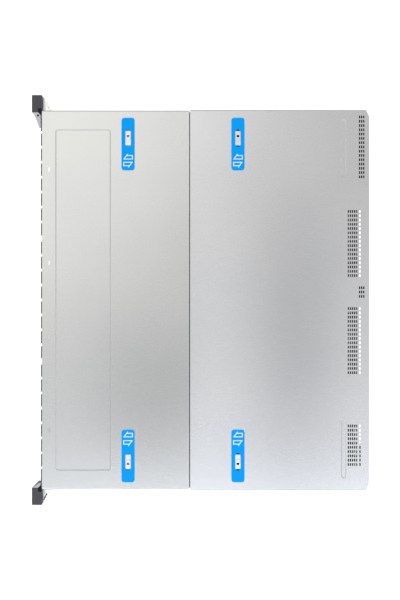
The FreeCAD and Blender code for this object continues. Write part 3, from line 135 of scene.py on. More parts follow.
# Rivets in the side walls: nickel-plated steel heads that hold the inner sheets in the tray. Each is
# pressed to a low dome, a little brighter than the sheet where the tool has rubbed it.
RIVET_R = 2.2 * MM
RIVET_HIGH = 0.7 * MM
RIVET_Y = (-165.0, -100.0, -60.0, -36.0, 20.0, 182.0)
RIVET_Z = (12.0, 66.0)
WALL_OUT = 221.8 * MM
bright_steel, tree = start_material("nickel_plated_steel")
place = add_node(tree, "TexCoord")
scratches = add_node(tree, "TexNoise", {"Scale": 1000 / 2.0, "Detail": 5.0}, {"Vector": (place, "Object")})
tone = add_node(tree, "Mix", {6: linear("#E4E0DB"), 7: linear("#CFCBC7")}, {0: (scratches, "Fac")},
                data_type="RGBA")
polish = add_node(tree, "MapRange", {"To Min": 0.2, "To Max": 0.36}, {"Value": (scratches, "Fac")})
metal = add_node(tree, "BsdfPrincipled", {"Metallic": 1.0},
                 {"Base Color": (tone, 2), "Roughness": (polish, "Result")})
add_node(tree, "OutputMaterial", {}, {"Surface": (metal, "BSDF")})


def lathe(bm, profile, sides, place, material_index=0):
    """Adds a turned form: profile is (radius, height) from the foot to the crown."""
    rings = []
    for radius, height in profile:
        ring = []
        for step in range(sides):
            turn = 2 * math.pi * step / sides
            corner = Vector((radius * math.cos(turn), radius * math.sin(turn), height))
            ring.append(bm.verts.new(place @ corner))
        rings.append(ring)
    for low, high in zip(rings, rings[1:]):
        for step in range(sides):
            after = (step + 1) % sides
            bm.faces.new((low[step], low[after], high[after], high[step])).material_index = material_index
    bm.faces.new(rings[-1]).material_index = material_index


def finish_piece(bm, name, materials, body, smooth=None):
    """Turns the mesh into a piece that rides on a body, with the given materials in its slots."""
    bmesh.ops.recalc_face_normals(bm, faces=bm.faces)
    mesh = bpy.data.meshes.new(name)
    bm.to_mesh(mesh)
    bm.free()
    if smooth:
        mesh.shade_smooth()
        mesh.set_sharp_from_angle(angle=math.radians(smooth))
    for material in materials:
        mesh.materials.append(material)
    piece = bpy.data.objects.new(name, mesh)
    bpy.context.scene.collection.objects.link(piece)
    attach(piece, body)


bm = bmesh.new()
dome = [(RIVET_R, 0.0), (RIVET_R * 0.95, RIVET_HIGH * 0.4), (RIVET_R * 0.6, RIVET_HIGH * 0.9),
        (RIVET_R * 0.2, RIVET_HIGH)]
for side in (-1, 1):
    for y in RIVET_Y:
        for z in RIVET_Z:
            spot = Matrix.Translation((side * WALL_OUT, y * MM, z * MM))
            lathe(bm, dome, 16, spot @ Matrix.Rotation(side * math.pi / 2, 4, "Y"))
finish_piece(bm, "side_rivets", [bright_steel], "chassis", smooth=40)

# Drive cage and fan wall: inner sheet metal of the same coil, a little rougher than the outside and
# coloured darker as painted shade for the inside of the case. They are riveted into the tray.
# Painted shade: this copy of the sheet is darker than the tray's.
shaded_inner_steel = zinc_coated_steel("zinc_coated_steel_inner_shaded", "#A9AAA9", "#9FA1A2", 0.42)
dress(shaded_inner_steel, "drive_cage", "fan_wall")

# Rear panel: stamped zinc-coated sheet between the tray walls, with closed channels under some vents. The
# insides of the channels are coloured near black as painted shade, so the vents over them look black from
# above.
CHANNEL_LOW = (0.0, 185.55, 71.35)
CHANNEL_HIGH = (220.0, 193.85, 85.15)


def inside_box(tree, place, low, high):
    """1 where the place, mirrored to positive coordinates, lies between two corners in millimetres."""
    middle = [(a + b) / 2 * MM for a, b in zip(low, high)]
    half = [(b - a) / 2 * MM for a, b in zip(low, high)]
    mirrored = add_node(tree, "VectorMath", {}, {0: (place, "Object")}, operation="ABSOLUTE")
    offset = add_node(tree, "VectorMath", {1: middle}, {0: (mirrored, "Vector")}, operation="SUBTRACT")
    away = add_node(tree, "VectorMath", {}, {0: (offset, "Vector")}, operation="ABSOLUTE")
    spare = add_node(tree, "VectorMath", {1: half}, {0: (away, "Vector")}, operation="SUBTRACT")
    axes = add_node(tree, "SeparateXYZ", {}, {"Vector": (spare, "Vector")})
    most = add_node(tree, "Math", {}, {0: (axes, "X"), 1: (axes, "Y")}, operation="MAXIMUM")
    most = add_node(tree, "Math", {}, {0: (most, "Value"), 1: (axes, "Z")}, operation="MAXIMUM")
    return add_node(tree, "Math", {1: 0.0}, {0: (most, "Value")}, operation="LESS_THAN")


panel_steel = zinc_coated_steel("zinc_coated_steel_panel", "#B4B5B4", "#ADAEAE", 0.34)
tree = panel_steel.node_tree
metal = tree.nodes["Principled BSDF"]
bare_tone = metal.inputs["Base Color"].links[0].from_node
place = add_node(tree, "TexCoord")
hollow = inside_box(tree, place, CHANNEL_LOW, CHANNEL_HIGH)
facing = add_node(tree, "NewGeometry")
tilt = add_node(tree, "SeparateXYZ", {}, {"Vector": (facing, "True Normal")})
inward = add_node(tree, "Math", {}, {0: (tilt, "Z"), 1: (tilt, "Y")}, operation="SUBTRACT")
# Painted shade: faces inside the channels that look up or toward the front are coloured near black.
painted_channel_shade = add_node(tree, "Math", {}, {0: (hollow, "Value"), 1: (inward, "Value")}, operation="MULTIPLY",
                   use_clamp=True)
tone = add_node(tree, "Mix", {7: linear("#161617")}, {0: (painted_channel_shade, "Value"), 6: (bare_tone, "Vector")},
                data_type="RGBA")
tree.links.new(tone.outputs[2], metal.inputs["Base Color"])
dress(panel_steel, "rear_panel")

# Blank slot covers and power supply bays: the same sheet, coloured near black as painted shade for the dark
# inside of the case. The covers are screwed over the empty card slots; the bays stand under the rear vents,
# which look black from above.
# Painted shade: the near-black colour stands in for the shade under the vents.
shade_black_steel = zinc_coated_steel("zinc_steel_painted_shade_black", "#2E2F31", "#262729", 0.4)
dress(shade_black_steel, "slot_covers", "psu_bays")

# Drive backplane: a glass-fibre circuit board with green solder mask, standing behind the drives.
# Copper tracks show through the mask as thin lighter lines; the connectors are black moulded plastic.
BACKPLANE_FACE = -49.2


def circuit_board(name, part_top, across):
    """Green board below or behind part_top on the given axis, black connector plastic beyond it."""
    material, tree = start_material(name)
    place = add_node(tree, "TexCoord")
    # Track pitch is 0.3 mm; it is drawn at 5 mm so that it shows.
    cells = add_node(tree, "TexVoronoi", {"Scale": 1000 / 5.0, "Randomness": 0.85},
                     {"Vector": (place, "Object")}, feature="DISTANCE_TO_EDGE")
    tracks = add_node(tree, "MapRange", {"From Min": 0.03, "From Max": 0.07, "To Min": 1.0, "To Max": 0.0},
                      {"Value": (cells, "Distance")})
    mask = add_node(tree, "Mix", {6: linear("#1E5B3C"), 7: linear("#2F7A50")}, {0: (tracks, "Result")},
                    data_type="RGBA")
    axes = add_node(tree, "SeparateXYZ", {}, {"Vector": (place, "Object")})
    beyond = add_node(tree, "Math", {1: part_top * MM}, {0: (axes, across)},
                      operation="GREATER_THAN" if across == "Z" else "LESS_THAN")
    tone = add_node(tree, "Mix", {7: linear("#1D1D20")}, {0: (beyond, "Value"), 6: (mask, 2)},
                    data_type="RGBA")
    relief = add_node(tree, "Bump", {"Strength": 0.2, "Distance": 0.05 * MM},
                      {"Height": (tracks, "Result")})
    board = add_node(tree, "BsdfPrincipled", {"Roughness": 0.38, "IOR": 1.5},
                     {"Base Color": (tone, 2), "Normal": (relief, "Normal")})
    add_node(tree, "OutputMaterial", {}, {"Surface": (board, "BSDF")})
    return material


dress(circuit_board("solder_mask_backplane", BACKPLANE_FACE, "Y"), "drive_backplane")

# Drive carriers: black glass-filled plastic bezel with a release lever and a push button, rails of the
# same plastic, and between them the drive in its cast aluminium case. The plastic is moulded matt and the
# cast case is a dull silver.
BEZEL_BACK = -175.1
DRIVE_LOW = 6.6
DRIVE_HIGH = 76.4


def grained_finish(name, colour, fleck, roughness, grit_mm, shine=0.5):
    """Plastic or a coat with a fine grit: matt, with a soft sheen where shine is high."""
    material, tree = start_material(name)
    place = add_node(tree, "TexCoord")
    # Mould grit is about 0.1 mm; it is drawn coarser, as grit_mm says, so that it shows.
    grit = add_node(tree, "TexNoise", {"Scale": 1000 / grit_mm, "Detail": 3.0},
                    {"Vector": (place, "Object")})
    tone = add_node(tree, "Mix", {6: linear(colour), 7: linear(fleck)}, {0: (grit, "Fac")},
                    data_type="RGBA")
    rough = add_node(tree, "MapRange", {"To Min": roughness - 0.06, "To Max": roughness + 0.1},
                     {"Value": (grit, "Fac")})
    relief = add_node(tree, "Bump", {"Strength": 0.25, "Distance": 0.08 * MM}, {"Height": (grit, "Fac")})
    plastic = add_node(tree, "BsdfPrincipled", {"IOR": 1.52, "Specular IOR Level": shine},
                       {"Base Color": (tone, 2), "Roughness": (rough, "Result"),
                        "Normal": (relief, "Normal")})
    add_node(tree, "OutputMaterial", {}, {"Surface": (plastic, "BSDF")})
    return material


carrier_plastic, tree = start_material("moulded_plastic_and_cast_aluminium")
place = add_node(tree, "TexCoord")
axes = add_node(tree, "SeparateXYZ", {}, {"Vector": (place, "Object")})
behind = add_node(tree, "Math", {1: BEZEL_BACK * MM}, {0: (axes, "Y")}, operation="GREATER_THAN")
middle = add_node(tree, "Math", {1: 0.5 * (DRIVE_LOW + DRIVE_HIGH) * MM}, {0: (axes, "Z")},
                  operation="SUBTRACT")
away = add_node(tree, "Math", {}, {0: (middle, "Value")}, operation="ABSOLUTE")
inside = add_node(tree, "Math", {1: 0.5 * (DRIVE_HIGH - DRIVE_LOW - 0.1) * MM}, {0: (away, "Value")},
                  operation="LESS_THAN")
drive = add_node(tree, "Math", {}, {0: (behind, "Value"), 1: (inside, "Value")}, operation="MULTIPLY")
# The grit is about 0.1 mm; it is drawn 1.2 mm wide so that it shows.
grit = add_node(tree, "TexNoise", {"Scale": 1000 / 1.2, "Detail": 3.0}, {"Vector": (place, "Object")})
plastic_tone = add_node(tree, "Mix", {6: linear("#29292C"), 7: linear("#353538")}, {0: (grit, "Fac")},
                        data_type="RGBA")
cast_tone = add_node(tree, "Mix", {6: linear("#B4B6B8"), 7: linear("#9EA1A4")}, {0: (grit, "Fac")},
                     data_type="RGBA")
tone = add_node(tree, "Mix", {}, {0: (drive, "Value"), 6: (plastic_tone, 2), 7: (cast_tone, 2)},
                data_type="RGBA")
rough = add_node(tree, "MapRange", {"To Min": 0.42, "To Max": 0.58}, {"Value": (grit, "Fac")})
relief = add_node(tree, "Bump", {"Strength": 0.2, "Distance": 0.08 * MM}, {"Height": (grit, "Fac")})
surface = add_node(tree, "BsdfPrincipled", {},
                   {"Base Color": (tone, 2), "Metallic": (drive, "Value"), "Roughness": (rough, "Result"),
                    "Normal": (relief, "Normal")})
add_node(tree, "OutputMaterial", {}, {"Surface": (surface, "BSDF")})
carriers = ["drive_carrier_%02d" % (bay + 1) for bay in range(24)]
dress(carrier_plastic, *carriers)

# Carrier fronts: each lever has a moulded honeycomb grille whose cell wells are coloured near black,
# painted shade for the holes. The button above the lever has two small light pipes of clear polycarbonate,
# which look pale and glossy.
GRILLE_LOW = 6.5
GRILLE_HIGH = 57.0
CELL_PITCH = 3.5
CELL_WALL = 0.5
GRILLE_DEEP = 0.25
PIPE_STEP = 3.4
PIPE_DOWN = 2.4
# Painted shade: the near-black well colour stands in for the dark holes of the grille.
grille_hole_shade = grained_finish("grille_hole_painted_shade", "#09090A", "#111113", 0.75, 1.0)
grille_plastic = grained_finish("moulded_plastic_carrier", "#2A2A2D", "#363639", 0.48, 1.2)
light_pipe, tree = start_material("clear_polycarbonate_light_pipe")
place = add_node(tree, "TexCoord")
haze = add_node(tree, "TexNoise", {"Scale": 1000 / 0.8}, {"Vector": (place, "Object")})
tone = add_node(tree, "Mix", {6: linear("#D9E2D6"), 7: linear("#B9C9B8")}, {0: (haze, "Fac")},
                data_type="RGBA")
lens = add_node(tree, "BsdfPrincipled", {"Roughness": 0.12, "IOR": 1.58, "Coat Weight": 0.4},
                {"Base Color": (tone, 2)})
add_node(tree, "OutputMaterial", {}, {"Surface": (lens, "BSDF")})


def honeycomb(bm, x, y, z, outer, inner, deep):
    """One cell of a grille that faces -Y: a rim, six walls and the dark well at the bottom, whose
    near-black colour is painted shade.
    """
    rings = []
    for radius, depth in ((outer, -deep), (inner, -deep), (inner, -0.01)):
        ring = []
        for step in range(6):
            turn = math.pi / 6 + math.pi / 3 * step
            corner = Vector((x + radius * math.cos(turn), y + depth, z + radius * math.sin(turn)))
            ring.append(bm.verts.new(corner * MM))
        rings.append(ring)
    for near, far in zip(rings, rings[1:]):
        for step in range(6):
            after = (step + 1) % 6
            bm.faces.new((near[step], near[after], far[after], far[step]))
    bm.faces.new(rings[-1]).material_index = 1


for node in carriers:
    low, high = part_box(node)
    middle_x = 0.5 * (low[0] + high[0]) / MM
    front = low[1] / MM
    bm = bmesh.new()
    row_step = CELL_PITCH * math.cos(math.pi / 6)
    for row in range(int((GRILLE_HIGH - GRILLE_LOW) / row_step)):
        count = 3 + row % 2
        for column in range(count):
            x = middle_x + (column - (count - 1) / 2) * CELL_PITCH
            honeycomb(bm, x, front, GRILLE_LOW + row * row_step, CELL_PITCH / math.sqrt(3),
                      (CELL_PITCH - CELL_WALL) / math.sqrt(3), GRILLE_DEEP)
    finish_piece(bm, node + "_grille", [grille_plastic, grille_hole_shade], node + "_body")
    bm = bmesh.new()
    pipe = [(0.9 * MM, 0.0), (0.9 * MM, 0.2 * MM), (0.55 * MM, 0.35 * MM)]
    for step in (-PIPE_STEP, PIPE_STEP):
        spot = Matrix.Translation(((middle_x + step) * MM, low[1], high[2] - PIPE_DOWN * MM))
        lathe(bm, pipe, 12, spot @ Matrix.Rotation(math.pi / 2, 4, "X"))
    finish_piece(bm, node + "_lights", [light_pipe], node + "_body", smooth=40)

# Fans: frames and rotors moulded in black glass-filled plastic, matt outside and slightly shiny on the
# blades where the mould was polished.
fan_plastic = grained_finish("glass_filled_plastic_fan", "#232326", "#2D2D30", 0.4, 0.9)
blade_plastic = grained_finish("glass_filled_plastic_blade", "#1B1B1D", "#252528", 0.3, 1.4)
dress(fan_plastic, "fan_frames")
dress(blade_plastic, "fan_rotor_1", "fan_rotor_2", "fan_rotor_3")

# Main board and memory modules: green solder mask with black sockets; the modules carry rows of black
# memory chips, soldered on and a little shiny.
BOARD_TOP = 8.0
CHIP_PITCH = 11.0
dress(circuit_board("solder_mask_main_board", BOARD_TOP + 0.05, "Z"), "motherboard")
module_board, tree = start_material("solder_mask_memory_module")
place = add_node(tree, "TexCoord")
axes = add_node(tree, "SeparateXYZ", {}, {"Vector": (place, "Object")})
flat = add_node(tree, "CombineXYZ", {}, {"X": (axes, "Y"), "Y": (axes, "Z")})
chips = add_node(tree, "TexBrick",
                 {"Color1": linear("#FFFFFF"), "Color2": linear("#FFFFFF"), "Mortar": linear("#000000"),
                  "Scale": 1000 / CHIP_PITCH, "Mortar Size": 0.14, "Mortar Smooth": 0.0,
                  "Brick Width": 1.0, "Row Height": 1.45},
                 {"Vector": (flat, "Vector")}, offset=0.0)
tone = add_node(tree, "Mix", {6: linear("#1F5E3E"), 7: linear("#17171A")}, {0: (chips, "Color")},
                data_type="RGBA")
relief = add_node(tree, "Bump", {"Strength": 0.6, "Distance": 0.6 * MM}, {"Height": (chips, "Color")})
board = add_node(tree, "BsdfPrincipled", {"Roughness": 0.4, "IOR": 1.5},
                 {"Base Color": (tone, 2), "Normal": (relief, "Normal")})
add_node(tree, "OutputMaterial", {}, {"Surface": (board, "BSDF")})
dress(module_board, "memory_modules")

# Parts soldered on the main board: chokes with dull grey ferrite cases, aluminium capacitors in dark blue
# plastic sleeves, the flat controller chip and the coin cell in its holder.
CHOKE_MIDDLE = 67.0
CHOKE_PITCH = 9.6


def block(bm, low, high, material_index=0, bevel=0.0):
    """Adds a block from corner to corner in millimetres, with softened edges where bevel is given."""
    made = bmesh.ops.create_cube(bm, size=1.0)["verts"]
    size = Vector(high) - Vector(low)
    middle = (Vector(high) + Vector(low)) / 2
    for vert in made:
        vert.co = Vector([middle[i] + vert.co[i] * size[i] for i in range(3)]) * MM
    faces = {face for vert in made for face in vert.link_faces}
    for face in faces:
        face.material_index = material_index
    if bevel:
        edges = {edge for vert in made for edge in vert.link_edges}
        bmesh.ops.bevel(bm, geom=list(edges), offset=bevel * MM, segments=2, affect="EDGES", profile=0.6)


ferrite = grained_finish("pressed_ferrite", "#4B4C50", "#3F4044", 0.6, 0.7)
sleeve = grained_finish("capacitor_sleeve", "#2A3550", "#323F5E", 0.35, 2.0)
bm = bmesh.new()
for side in (-1, 1):
    for step in range(7):
        x = side * CHOKE_MIDDLE + (step - 3) * CHOKE_PITCH
        block(bm, (x - 3.6, 112.0, BOARD_TOP), (x + 3.6, 119.2, BOARD_TOP + 4.6), 0, bevel=0.5)
        spot = Matrix.Translation(Vector((x, 125.0, BOARD_TOP)) * MM)
        lathe(bm, [(2.9 * MM, 0.0), (2.9 * MM, 7.0 * MM), (2.6 * MM, 7.5 * MM)], 16, spot, 1)
        lathe(bm, [(2.3 * MM, 7.5 * MM), (2.3 * MM, 7.6 * MM)], 16, spot, 2)
block(bm, (50.0, 132.0, BOARD_TOP), (78.0, 148.0, BOARD_TOP + 2.2), 0, bevel=0.4)
block(bm, (54.0, 133.5, BOARD_TOP + 2.2), (74.0, 146.5, BOARD_TOP + 3.0), 2, bevel=0.3)
cell = Matrix.Translation(Vector((-64.0, 142.0, BOARD_TOP)) * MM)
lathe(bm, [(11.4 * MM, 0.0), (11.4 * MM, 2.6 * MM), (10.6 * MM, 3.0 * MM)], 32, cell, 0)
lathe(bm, [(10.0 * MM, 3.0 * MM), (10.0 * MM, 3.9 * MM), (9.4 * MM, 4.3 * MM)], 32, cell, 2)
finish_piece(bm, "board_parts", [ferrite, sleeve, bright_steel], "chassis", smooth=40)

# Heatsinks: extruded aluminium, left bare, so they are a light silver. The fins keep fine lines along
# the way they were pushed through the die.
FIN_LINE = 0.8


def drawn_metal(name, colour, line, roughness, line_mm):
    """Bright metal with fine drawn lines along Y."""
    material, tree = start_material(name)
    place = add_node(tree, "TexCoord")
    # The lines are about 0.05 mm apart; they are drawn coarser, as line_mm says, so that they show.
    drawn = add_node(tree, "Mapping", {"Scale": (1.0, 0.05, 1.0)}, {"Vector": (place, "Object")})
    lines = add_node(tree, "TexNoise", {"Scale": 1000 / line_mm, "Detail": 4.0},
                     {"Vector": (drawn, "Vector")})
    tone = add_node(tree, "Mix", {6: linear(colour), 7: linear(line)}, {0: (lines, "Fac")},
                    data_type="RGBA")
    rough = add_node(tree, "MapRange", {"To Min": roughness - 0.08, "To Max": roughness + 0.1},
                     {"Value": (lines, "Fac")})
    relief = add_node(tree, "Bump", {"Strength": 0.12, "Distance": 0.1 * MM}, {"Height": (lines, "Fac")})
    metal = add_node(tree, "BsdfPrincipled", {"Metallic": 1.0},
                     {"Base Color": (tone, 2), "Roughness": (rough, "Result"),
                      "Normal": (relief, "Normal")})
    add_node(tree, "OutputMaterial", {}, {"Surface": (metal, "BSDF")})
    return material


dress(drawn_metal("extruded_aluminium", "#C9CBCE", "#B3B6BA", 0.34, FIN_LINE), "heatsinks")

# Air duct: a thin hood over the heatsinks and the memory, vacuum-formed from smoke-black plastic sheet.
# It lifts out by hand; the forming leaves it smooth, with a dull shine.
dress(grained_finish("vacuum_formed_plastic_duct", "#2B2B2E", "#353539", 0.36, 2.5), "air_duct")

# Riser cages: folded zinc-coated brackets, coloured darker than the tray as painted shade inside the case.
# Each holds an upright green riser board with two black card sockets.
CARD_BOX = ((13.25, 100.0, 7.0), (14.85, 190.0, 81.7))
SOCKET_BOX = ((14.85, 100.0, 44.0), (26.5, 190.0, 81.7))
riser_mix, tree = start_material("zinc_steel_and_solder_mask")
place = add_node(tree, "TexCoord")
# The grain of the sheet is under 0.1 mm; it is drawn 1.6 mm wide so that it shows.
grain = add_node(tree, "TexNoise", {"Scale": 1000 / 1.6, "Detail": 4.0}, {"Vector": (place, "Object")})
# Painted shade: the sheet colour is darker than the tray's because it sits inside the case.
sheet = add_node(tree, "Mix", {6: linear("#A9AAA9"), 7: linear("#9C9E9F")}, {0: (grain, "Fac")},
                 data_type="RGBA")
card = inside_box(tree, place, *CARD_BOX)
socket = inside_box(tree, place, *SOCKET_BOX)
tone = add_node(tree, "Mix", {7: linear("#1E5B3C")}, {0: (card, "Value"), 6: (sheet, 2)},
                data_type="RGBA")
tone = add_node(tree, "Mix", {7: linear("#18181A")}, {0: (socket, "Value"), 6: (tone, 2)},
                data_type="RGBA")
other = add_node(tree, "Math", {}, {0: (card, "Value"), 1: (socket, "Value")}, operation="MAXIMUM")
bare = add_node(tree, "Math", {0: 1.0}, {1: (other, "Value")}, operation="SUBTRACT")
rough = add_node(tree, "MapRange", {"To Min": 0.38, "To Max": 0.5}, {"Value": (grain, "Fac")})
surface = add_node(tree, "BsdfPrincipled", {},
                   {"Base Color": (tone, 2), "Metallic": (bare, "Value"), "Roughness": (rough, "Result")})
add_node(tree, "OutputMaterial", {}, {"Surface": (surface, "BSDF")})
dress(riser_mix, "riser_cages")

# Rear ports: drawn nickel-plated shells of network, USB, video and serial sockets, soldered to the main
# board, bright and smooth. Inside each is a black moulded insert; its contacts are gold-plated.
PORT_FACE = 185.5
PORT_FLOOR = 168.8
TRAPEZOID_FACE = 191.0
NETWORK_X = (-120.0, -98.0, -76.0)
USB_X = (-52.0, -32.0)
TRAPEZOID_X = (38.0, 88.0)
shell_nickel = drawn_metal("nickel_plated_shell", "#D2D0CB", "#C2C0BC", 0.26, 1.5)
dress(shell_nickel, "io_ports")
insert_plastic = grained_finish("moulded_plastic_socket_insert", "#161618", "#1F1F22", 0.55, 0.8)


def plated_metal(name, colour, rubbed, rub_mm, roughness):
    """Smooth plating, rubbed a little in patches of the given size."""
    material, tree = start_material(name)
    place = add_node(tree, "TexCoord")
    rub = add_node(tree, "TexNoise", {"Scale": 1000 / rub_mm}, {"Vector": (place, "Object")})
    tone = add_node(tree, "Mix", {6: linear(colour), 7: linear(rubbed)}, {0: (rub, "Fac")},
                    data_type="RGBA")
    metal = add_node(tree, "BsdfPrincipled", {"Metallic": 1.0, "Roughness": roughness},
                     {"Base Color": (tone, 2)})
    add_node(tree, "OutputMaterial", {}, {"Surface": (metal, "BSDF")})
    return material


gold = plated_metal("gold_plated_contact", "#D9B566", "#C49C4A", 0.6, 0.22)
bm = bmesh.new()
for x in NETWORK_X:
    block(bm, (x - 6.6, PORT_FLOOR, 9.3), (x + 6.6, PORT_FLOOR + 1.2, 20.1))
    block(bm, (x - 3.2, PORT_FLOOR + 1.2, 9.3), (x + 3.2, PORT_FACE - 1.5, 10.0), bevel=0.2)
    for pin in range(8):
        pin_x = x + (pin - 3.5) * 1.02
        block(bm, (pin_x - 0.25, PORT_FLOOR + 1.2, 19.0), (pin_x + 0.25, PORT_FACE - 3.0, 19.5), 1)
for x in USB_X:
    block(bm, (x - 5.9, PORT_FLOOR, 9.3), (x + 5.9, PORT_FLOOR + 1.2, 13.9))
    block(bm, (x - 5.4, PORT_FLOOR + 1.2, 10.8), (x + 5.4, PORT_FACE - 1.0, 12.4), bevel=0.25)
    for pin in range(4):
        pin_x = x + (pin - 1.5) * 2.3
        block(bm, (pin_x - 0.5, PORT_FLOOR + 2.0, 12.4), (pin_x + 0.5, PORT_FACE - 2.0, 12.6), 1)
for x in TRAPEZOID_X:
    block(bm, (x - 6.6, TRAPEZOID_FACE - 0.4, 10.6), (x + 6.6, TRAPEZOID_FACE + 0.06, 17.9), bevel=0.2)
    for row, count in ((12.6, 4), (15.8, 5)):
        for pin in range(count):
            pin_x = x + (pin - (count - 1) / 2) * 2.4
            spot = Matrix.Translation(Vector((pin_x, TRAPEZOID_FACE + 0.06, row)) * MM)
            spot = spot @ Matrix.Rotation(-math.pi / 2, 4, "X")
            lathe(bm, [(0.55 * MM, 0.0), (0.5 * MM, 0.25 * MM)], 10, spot, 1)
finish_piece(bm, "socket_inserts", [insert_plastic, gold], "chassis")

# Power supplies: a folded case of bare zinc steel with a black pull handle. The mains inlet is a black
# moulded socket with three nickel-plated pins. Behind the slots of the grille the case is coloured near
# black as painted shade.
PSU_REAR = 185.5
PSU_MIDDLE = 21.5
INLET_X = (151.6, 178.6)
INLET_Z = (11.5, 31.5)
GRILLE_X = (188.6, 209.6)
INLET_PIN_STEP = 7.0
LIGHT_X = 196.8
LIGHT_Z = 38.9
psu_case, tree = start_material("zinc_steel_case_and_moulded_plastic")
place = add_node(tree, "TexCoord")
# The grain of the sheet is under 0.1 mm; it is drawn 1.6 mm wide so that it shows.
grain = add_node(tree, "TexNoise", {"Scale": 1000 / 1.6, "Detail": 4.0}, {"Vector": (place, "Object")})
sheet = add_node(tree, "Mix", {6: linear("#BDBEBE"), 7: linear("#B0B2B3")}, {0: (grain, "Fac")},
                 data_type="RGBA")
handle = inside_box(tree, place, (140, PSU_REAR + 0.05, 0), (225, 200, 50))
inlet = inside_box(tree, place, (INLET_X[0] - 0.05, 160, INLET_Z[0] - 0.05),
                   (INLET_X[1] + 0.05, PSU_REAR - 0.05, INLET_Z[1] + 0.05))
# Painted shade: the faces just behind the grille slots are coloured near black.
slot_shade = inside_box(tree, place, (GRILLE_X[0] - 0.05, 182, 4), (GRILLE_X[1] + 0.05, PSU_REAR - 0.05, 39))
# The handle and the inlet are black in their own right; the slots are painted shade.
black_parts_and_slot_shade = add_node(tree, "Math", {}, {0: (handle, "Value"), 1: (inlet, "Value")}, operation="MAXIMUM")
black_parts_and_slot_shade = add_node(tree, "Math", {}, {0: (black_parts_and_slot_shade, "Value"), 1: (slot_shade, "Value")}, operation="MAXIMUM")
tone = add_node(tree, "Mix", {7: linear("#1C1C1F")}, {0: (black_parts_and_slot_shade, "Value"), 6: (sheet, 2)}, data_type="RGBA")
bare = add_node(tree, "Math", {0: 1.0}, {1: (black_parts_and_slot_shade, "Value")}, operation="SUBTRACT")
rough = add_node(tree, "MapRange", {"To Min": 0.34, "To Max": 0.46}, {"Value": (grain, "Fac")})
relief = add_node(tree, "Bump", {"Strength": 0.06, "Distance": 0.1 * MM}, {"Height": (grain, "Fac")})
surface = add_node(tree, "BsdfPrincipled", {},
                   {"Base Color": (tone, 2), "Metallic": (bare, "Value"), "Roughness": (rough, "Result"),
                    "Normal": (relief, "Normal")})
add_node(tree, "OutputMaterial", {}, {"Surface": (surface, "BSDF")})
dress(psu_case, "power_supply_1", "power_supply_2")
for node, side in (("power_supply_1", -1), ("power_supply_2", 1)):
    bm = bmesh.new()
    for step, lift in ((-1, -1.5), (0, 1.5), (1, -1.5)):
        pin_x = side * (sum(INLET_X) / 2 + INLET_PIN_STEP * step)
        pin_z = PSU_MIDDLE + lift
        block(bm, (pin_x - 1.05, 170.6, pin_z - 2.05), (pin_x + 1.05, 181.6, pin_z + 2.05), bevel=0.5)
    finish_piece(bm, node + "_pins", [bright_steel], node + "_body", smooth=40)
    bm = bmesh.new()
    spot = Matrix.Translation(Vector((side * LIGHT_X, PSU_REAR, LIGHT_Z)) * MM)
    spot = spot @ Matrix.Rotation(-math.pi / 2, 4, "X")
    lathe(bm, [(1.3 * MM, 0.0), (1.3 * MM, 0.3 * MM), (0.8 * MM, 0.6 * MM)], 14, spot)
    finish_piece(bm, node + "_light", [light_pipe], node + "_body", smooth=40)

# Power supply latches: thumb tabs moulded in blue-grey plastic, with a fine satin grain. Each slides
# inward against a spring to free its supply.
latch_plastic = grained_finish("moulded_plastic_latch_tab", "#3B4350", "#465060", 0.42, 1.0)
dress(latch_plastic, "psu_latch_1", "psu_latch_2")

# Rack ears: end caps moulded in dark grey plastic, screwed to the front of the tray. A fine grain keeps
# them matt. The buttons in them are moulded in a lighter grey, and are smoother.
ear_plastic = grained_finish("moulded_plastic_ear", "#3E3B40", "#464348", 0.5, 1.3, shine=0.3)
dress(ear_plastic, "rack_ears")
button_plastic = grained_finish("moulded_plastic_button", "#6C7076", "#777B81", 0.34, 0.8)
dress(button_plastic, "id_button", "power_button")

# Ear brackets: small hooks that hold the ears to the tray walls, folded from zinc-plated sheet. Their
# colour is made lighter than the tray's as painted light, against the shade they sit in behind the ears.
dress(zinc_coated_steel("zinc_plate_painted_light", "#D4D4D2", "#CCCCCB", 0.3), "ear_brackets")

# Ear trims: small hoods on the inner sides of the ears, above the carriers. They are painted in satin
# silver, which gives a soft grey shine with no mirror in it.
dress(grained_finish("silver_paint_trim", "#B9B7BA", "#C4C2C5", 0.38, 1.0), "ear_trims")

# Ear corner shade: thin black sheets at the inner corners of the ears, where the front cover comes down
# between them, and a strip along the right bracket. They are painted shade for the gaps there. A blackened
# screw holds the left trim.
CORNER_SHADE = ((225.5, -191.1), (225.5, -186.9), (217.4, -186.9), (217.4, -187.9), (220.9, -191.1))
BRACKET_SHADE = ((237.3, -185.4), (229.7, -181.5), (229.1, -182.7), (236.7, -186.4))
EAR_TOP = 87.0
SCREW = (-217.1, -191.2, EAR_TOP)
BRACKET_TOP = 70.0
SHADE_SHEET_HIGH = 0.4
# Painted shade: near-black sheets laid in the gaps at the ears and along the bracket.
shade_black = grained_finish("black_painted_shade", "#0B0B0C", "#131315", 0.7, 1.0, shine=0.2)
bm = bmesh.new()
for side, outline, low in ((-1, CORNER_SHADE, EAR_TOP), (1, CORNER_SHADE, EAR_TOP), (1, BRACKET_SHADE, BRACKET_TOP)):
    bottom = [bm.verts.new(Vector((side * x, y, low)) * MM) for x, y in outline]
    top = [bm.verts.new(Vector((side * x, y, low + SHADE_SHEET_HIGH)) * MM) for x, y in outline]
    bm.faces.new(bottom)
    bm.faces.new(top)
    for step in range(len(outline)):
        bm.faces.new((bottom[step - 1], bottom[step], top[step], top[step - 1]))
finish_piece(bm, "ear_gap_shade", [shade_black], "chassis")
bm = bmesh.new()
spot = Matrix.Translation(Vector(SCREW) * MM)
lathe(bm, [(1.2 * MM, 0.0), (1.2 * MM, 0.2 * MM), (0.8 * MM, 0.4 * MM)], 16, spot)
black_screw = zinc_coated_steel("black_zinc_screw", "#1A1A1B", "#121213", 0.45)
finish_piece(bm, "trim_screw", [black_screw], "chassis", smooth=40)
